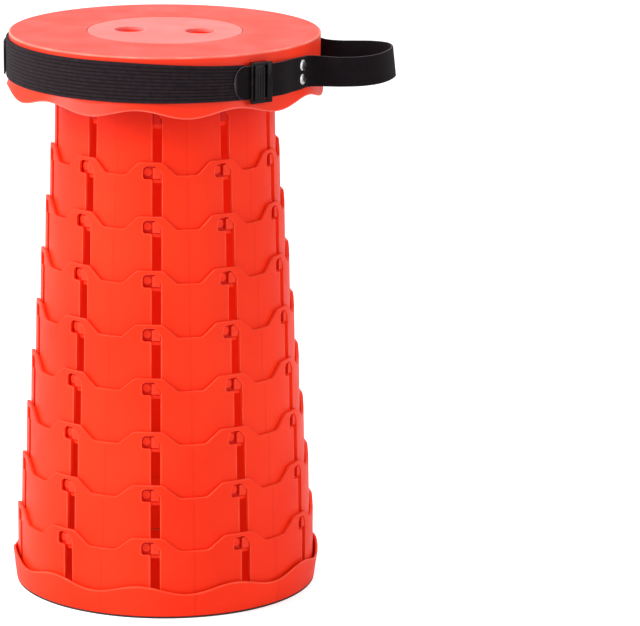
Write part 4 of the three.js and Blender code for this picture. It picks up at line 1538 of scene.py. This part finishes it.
white = (1.0, 1.0, 1.0, 1.0)
studio = {
    "floorSize": 12.0,
    "floorColour": (0.9, 0.9, 0.9, 1.0),
    "floorShade": (0.87, 0.87, 0.87, 1.0),
    "floorScale": 3.0,
    "floorDrift": 0.3,
    "floorLift": 0.55,  # of the floor's paint towards white, for the camera only
    # inside the stool's foot, the red light and shade of its walls are painted on the floor
    "floorHidden": (0.119, 0.1202),  # inside the stool's foot the floor has the glow of its walls
    "floorPaintedRedLight": (0.5, 0.01, 0.004, 1.0),
    "floorGlow": (0.5, 0.008, 0.001, 1.0),
    "worldStrength": 0.46,
    "lampTarget": (0.0, 0.0, 0.25),
    "lamps": {  # place, diameter and power
        "keyLamp": ((-2.72, -0.9, 1.7), 2.0, 116.0),
        "fillLamp": ((2.4, -1.6, 1.0), 1.8, 24.0),
        "topLamp": ((0.3, 0.8, 2.6), 2.0, 22.0),
    },
}
view = {
    "place": (0.0008, -3.143, 0.9965),
    "yaw": 2.258,  # to the right
    "pitch": 13.89,  # down
    "roll": 0.467,
    "lens": 225.7,
}


def paleFloor():
    # A square that the camera sees almost white, with painted red light where the stool's inside shines on it
    half = studio["floorSize"] / 2
    mesh = bpy.data.meshes.new("floor")
    corners = [(-half, -half, 0), (half, -half, 0), (half, half, 0), (-half, half, 0)]
    mesh.from_pydata(corners, [], [(0, 1, 2, 3)])
    floor = bpy.data.objects.new("floor", mesh)
    bpy.context.scene.collection.objects.link(floor)
    finish = Finish("floorPaint", Roughness=0.9, Specular_IOR_Level=0.1)
    shade = finish.between(finish.noise(studio["floorScale"]), 0.2, 0.8) * studio["floorDrift"]
    pale = finish.mixColours(shade, studio["floorColour"], studio["floorShade"])
    distance = finish.node("ShaderNodeVectorMath", {"operation": "LENGTH"}, {0: finish.place()}, "Value")
    outside = finish.between(distance, *studio["floorHidden"])
    finish.feed("Base Color", finish.mixColours(outside, studio["floorPaintedRedLight"], pale))
    finish.feed("Emission Color", finish.mixColours(outside, studio["floorGlow"], white))
    seen = finish.node("ShaderNodeLightPath", output="Is Camera Ray")
    finish.feed("Emission Strength", seen * studio["floorLift"])
    mesh.materials.append(finish.material)


def softLamp(name, place, size, power):
    # Round lamp turned to the middle of the stool
    light = bpy.data.lights.new(name, "AREA")
    light.shape = "DISK"
    light.size = size
    light.energy = power
    lamp = bpy.data.objects.new(name, light)
    lamp.location = place
    across, ahead, up = np.array(studio["lampTarget"]) - np.array(place)
    tilt = math.atan2(math.hypot(across, ahead), -up)
    lamp.rotation_euler = (tilt, 0, math.atan2(ahead, across) - math.pi / 2)
    bpy.context.scene.collection.objects.link(lamp)


def whiteWorld():
    # White for the camera and for reflections, weaker where it lights the object
    world = bpy.data.worlds.new("studioWorld")
    bpy.context.scene.world = world
    graph = Graph(world)
    values = {"Color": white, "Strength": studio["worldStrength"]}
    lit = graph.node("ShaderNodeBackground", values=values)
    seen = graph.node("ShaderNodeBackground", values={"Color": white})
    camera = graph.node("ShaderNodeLightPath", output="Is Camera Ray")
    glossy = graph.node("ShaderNodeLightPath", output="Is Glossy Ray")
    either = graph.math("MAXIMUM", camera, glossy)
    mix = graph.node("ShaderNodeMixShader", values={0: either, 1: lit, 2: seen})
    graph.join(graph.tree.nodes["World Output"].inputs["Surface"], mix)


def photoCamera():
    # Looks north, turned by its yaw, tilted down by its pitch and rolled
    data = bpy.data.cameras.new("photoCamera")
    data.lens = view["lens"]
    data.sensor_width = 36
    data.clip_end = 50
    camera = bpy.data.objects.new("photoCamera", data)
    camera.location = view["place"]
    heading = Matrix.Rotation(math.radians(-view["yaw"]), 3, "Z")
    tilt = Matrix.Rotation(math.radians(90 - view["pitch"]), 3, "X")
    roll = Matrix.Rotation(math.radians(view["roll"]), 3, "Z")
    camera.rotation_euler = (heading @ tilt @ roll).to_euler()
    bpy.context.scene.collection.objects.link(camera)
    bpy.context.scene.camera = camera


paleFloor()
for lampName, lampValues in studio["lamps"].items():
    softLamp(lampName, *lampValues)
whiteWorld()
photoCamera()
bpy.context.scene.view_settings.view_transform = "Standard"
print("studio ready")
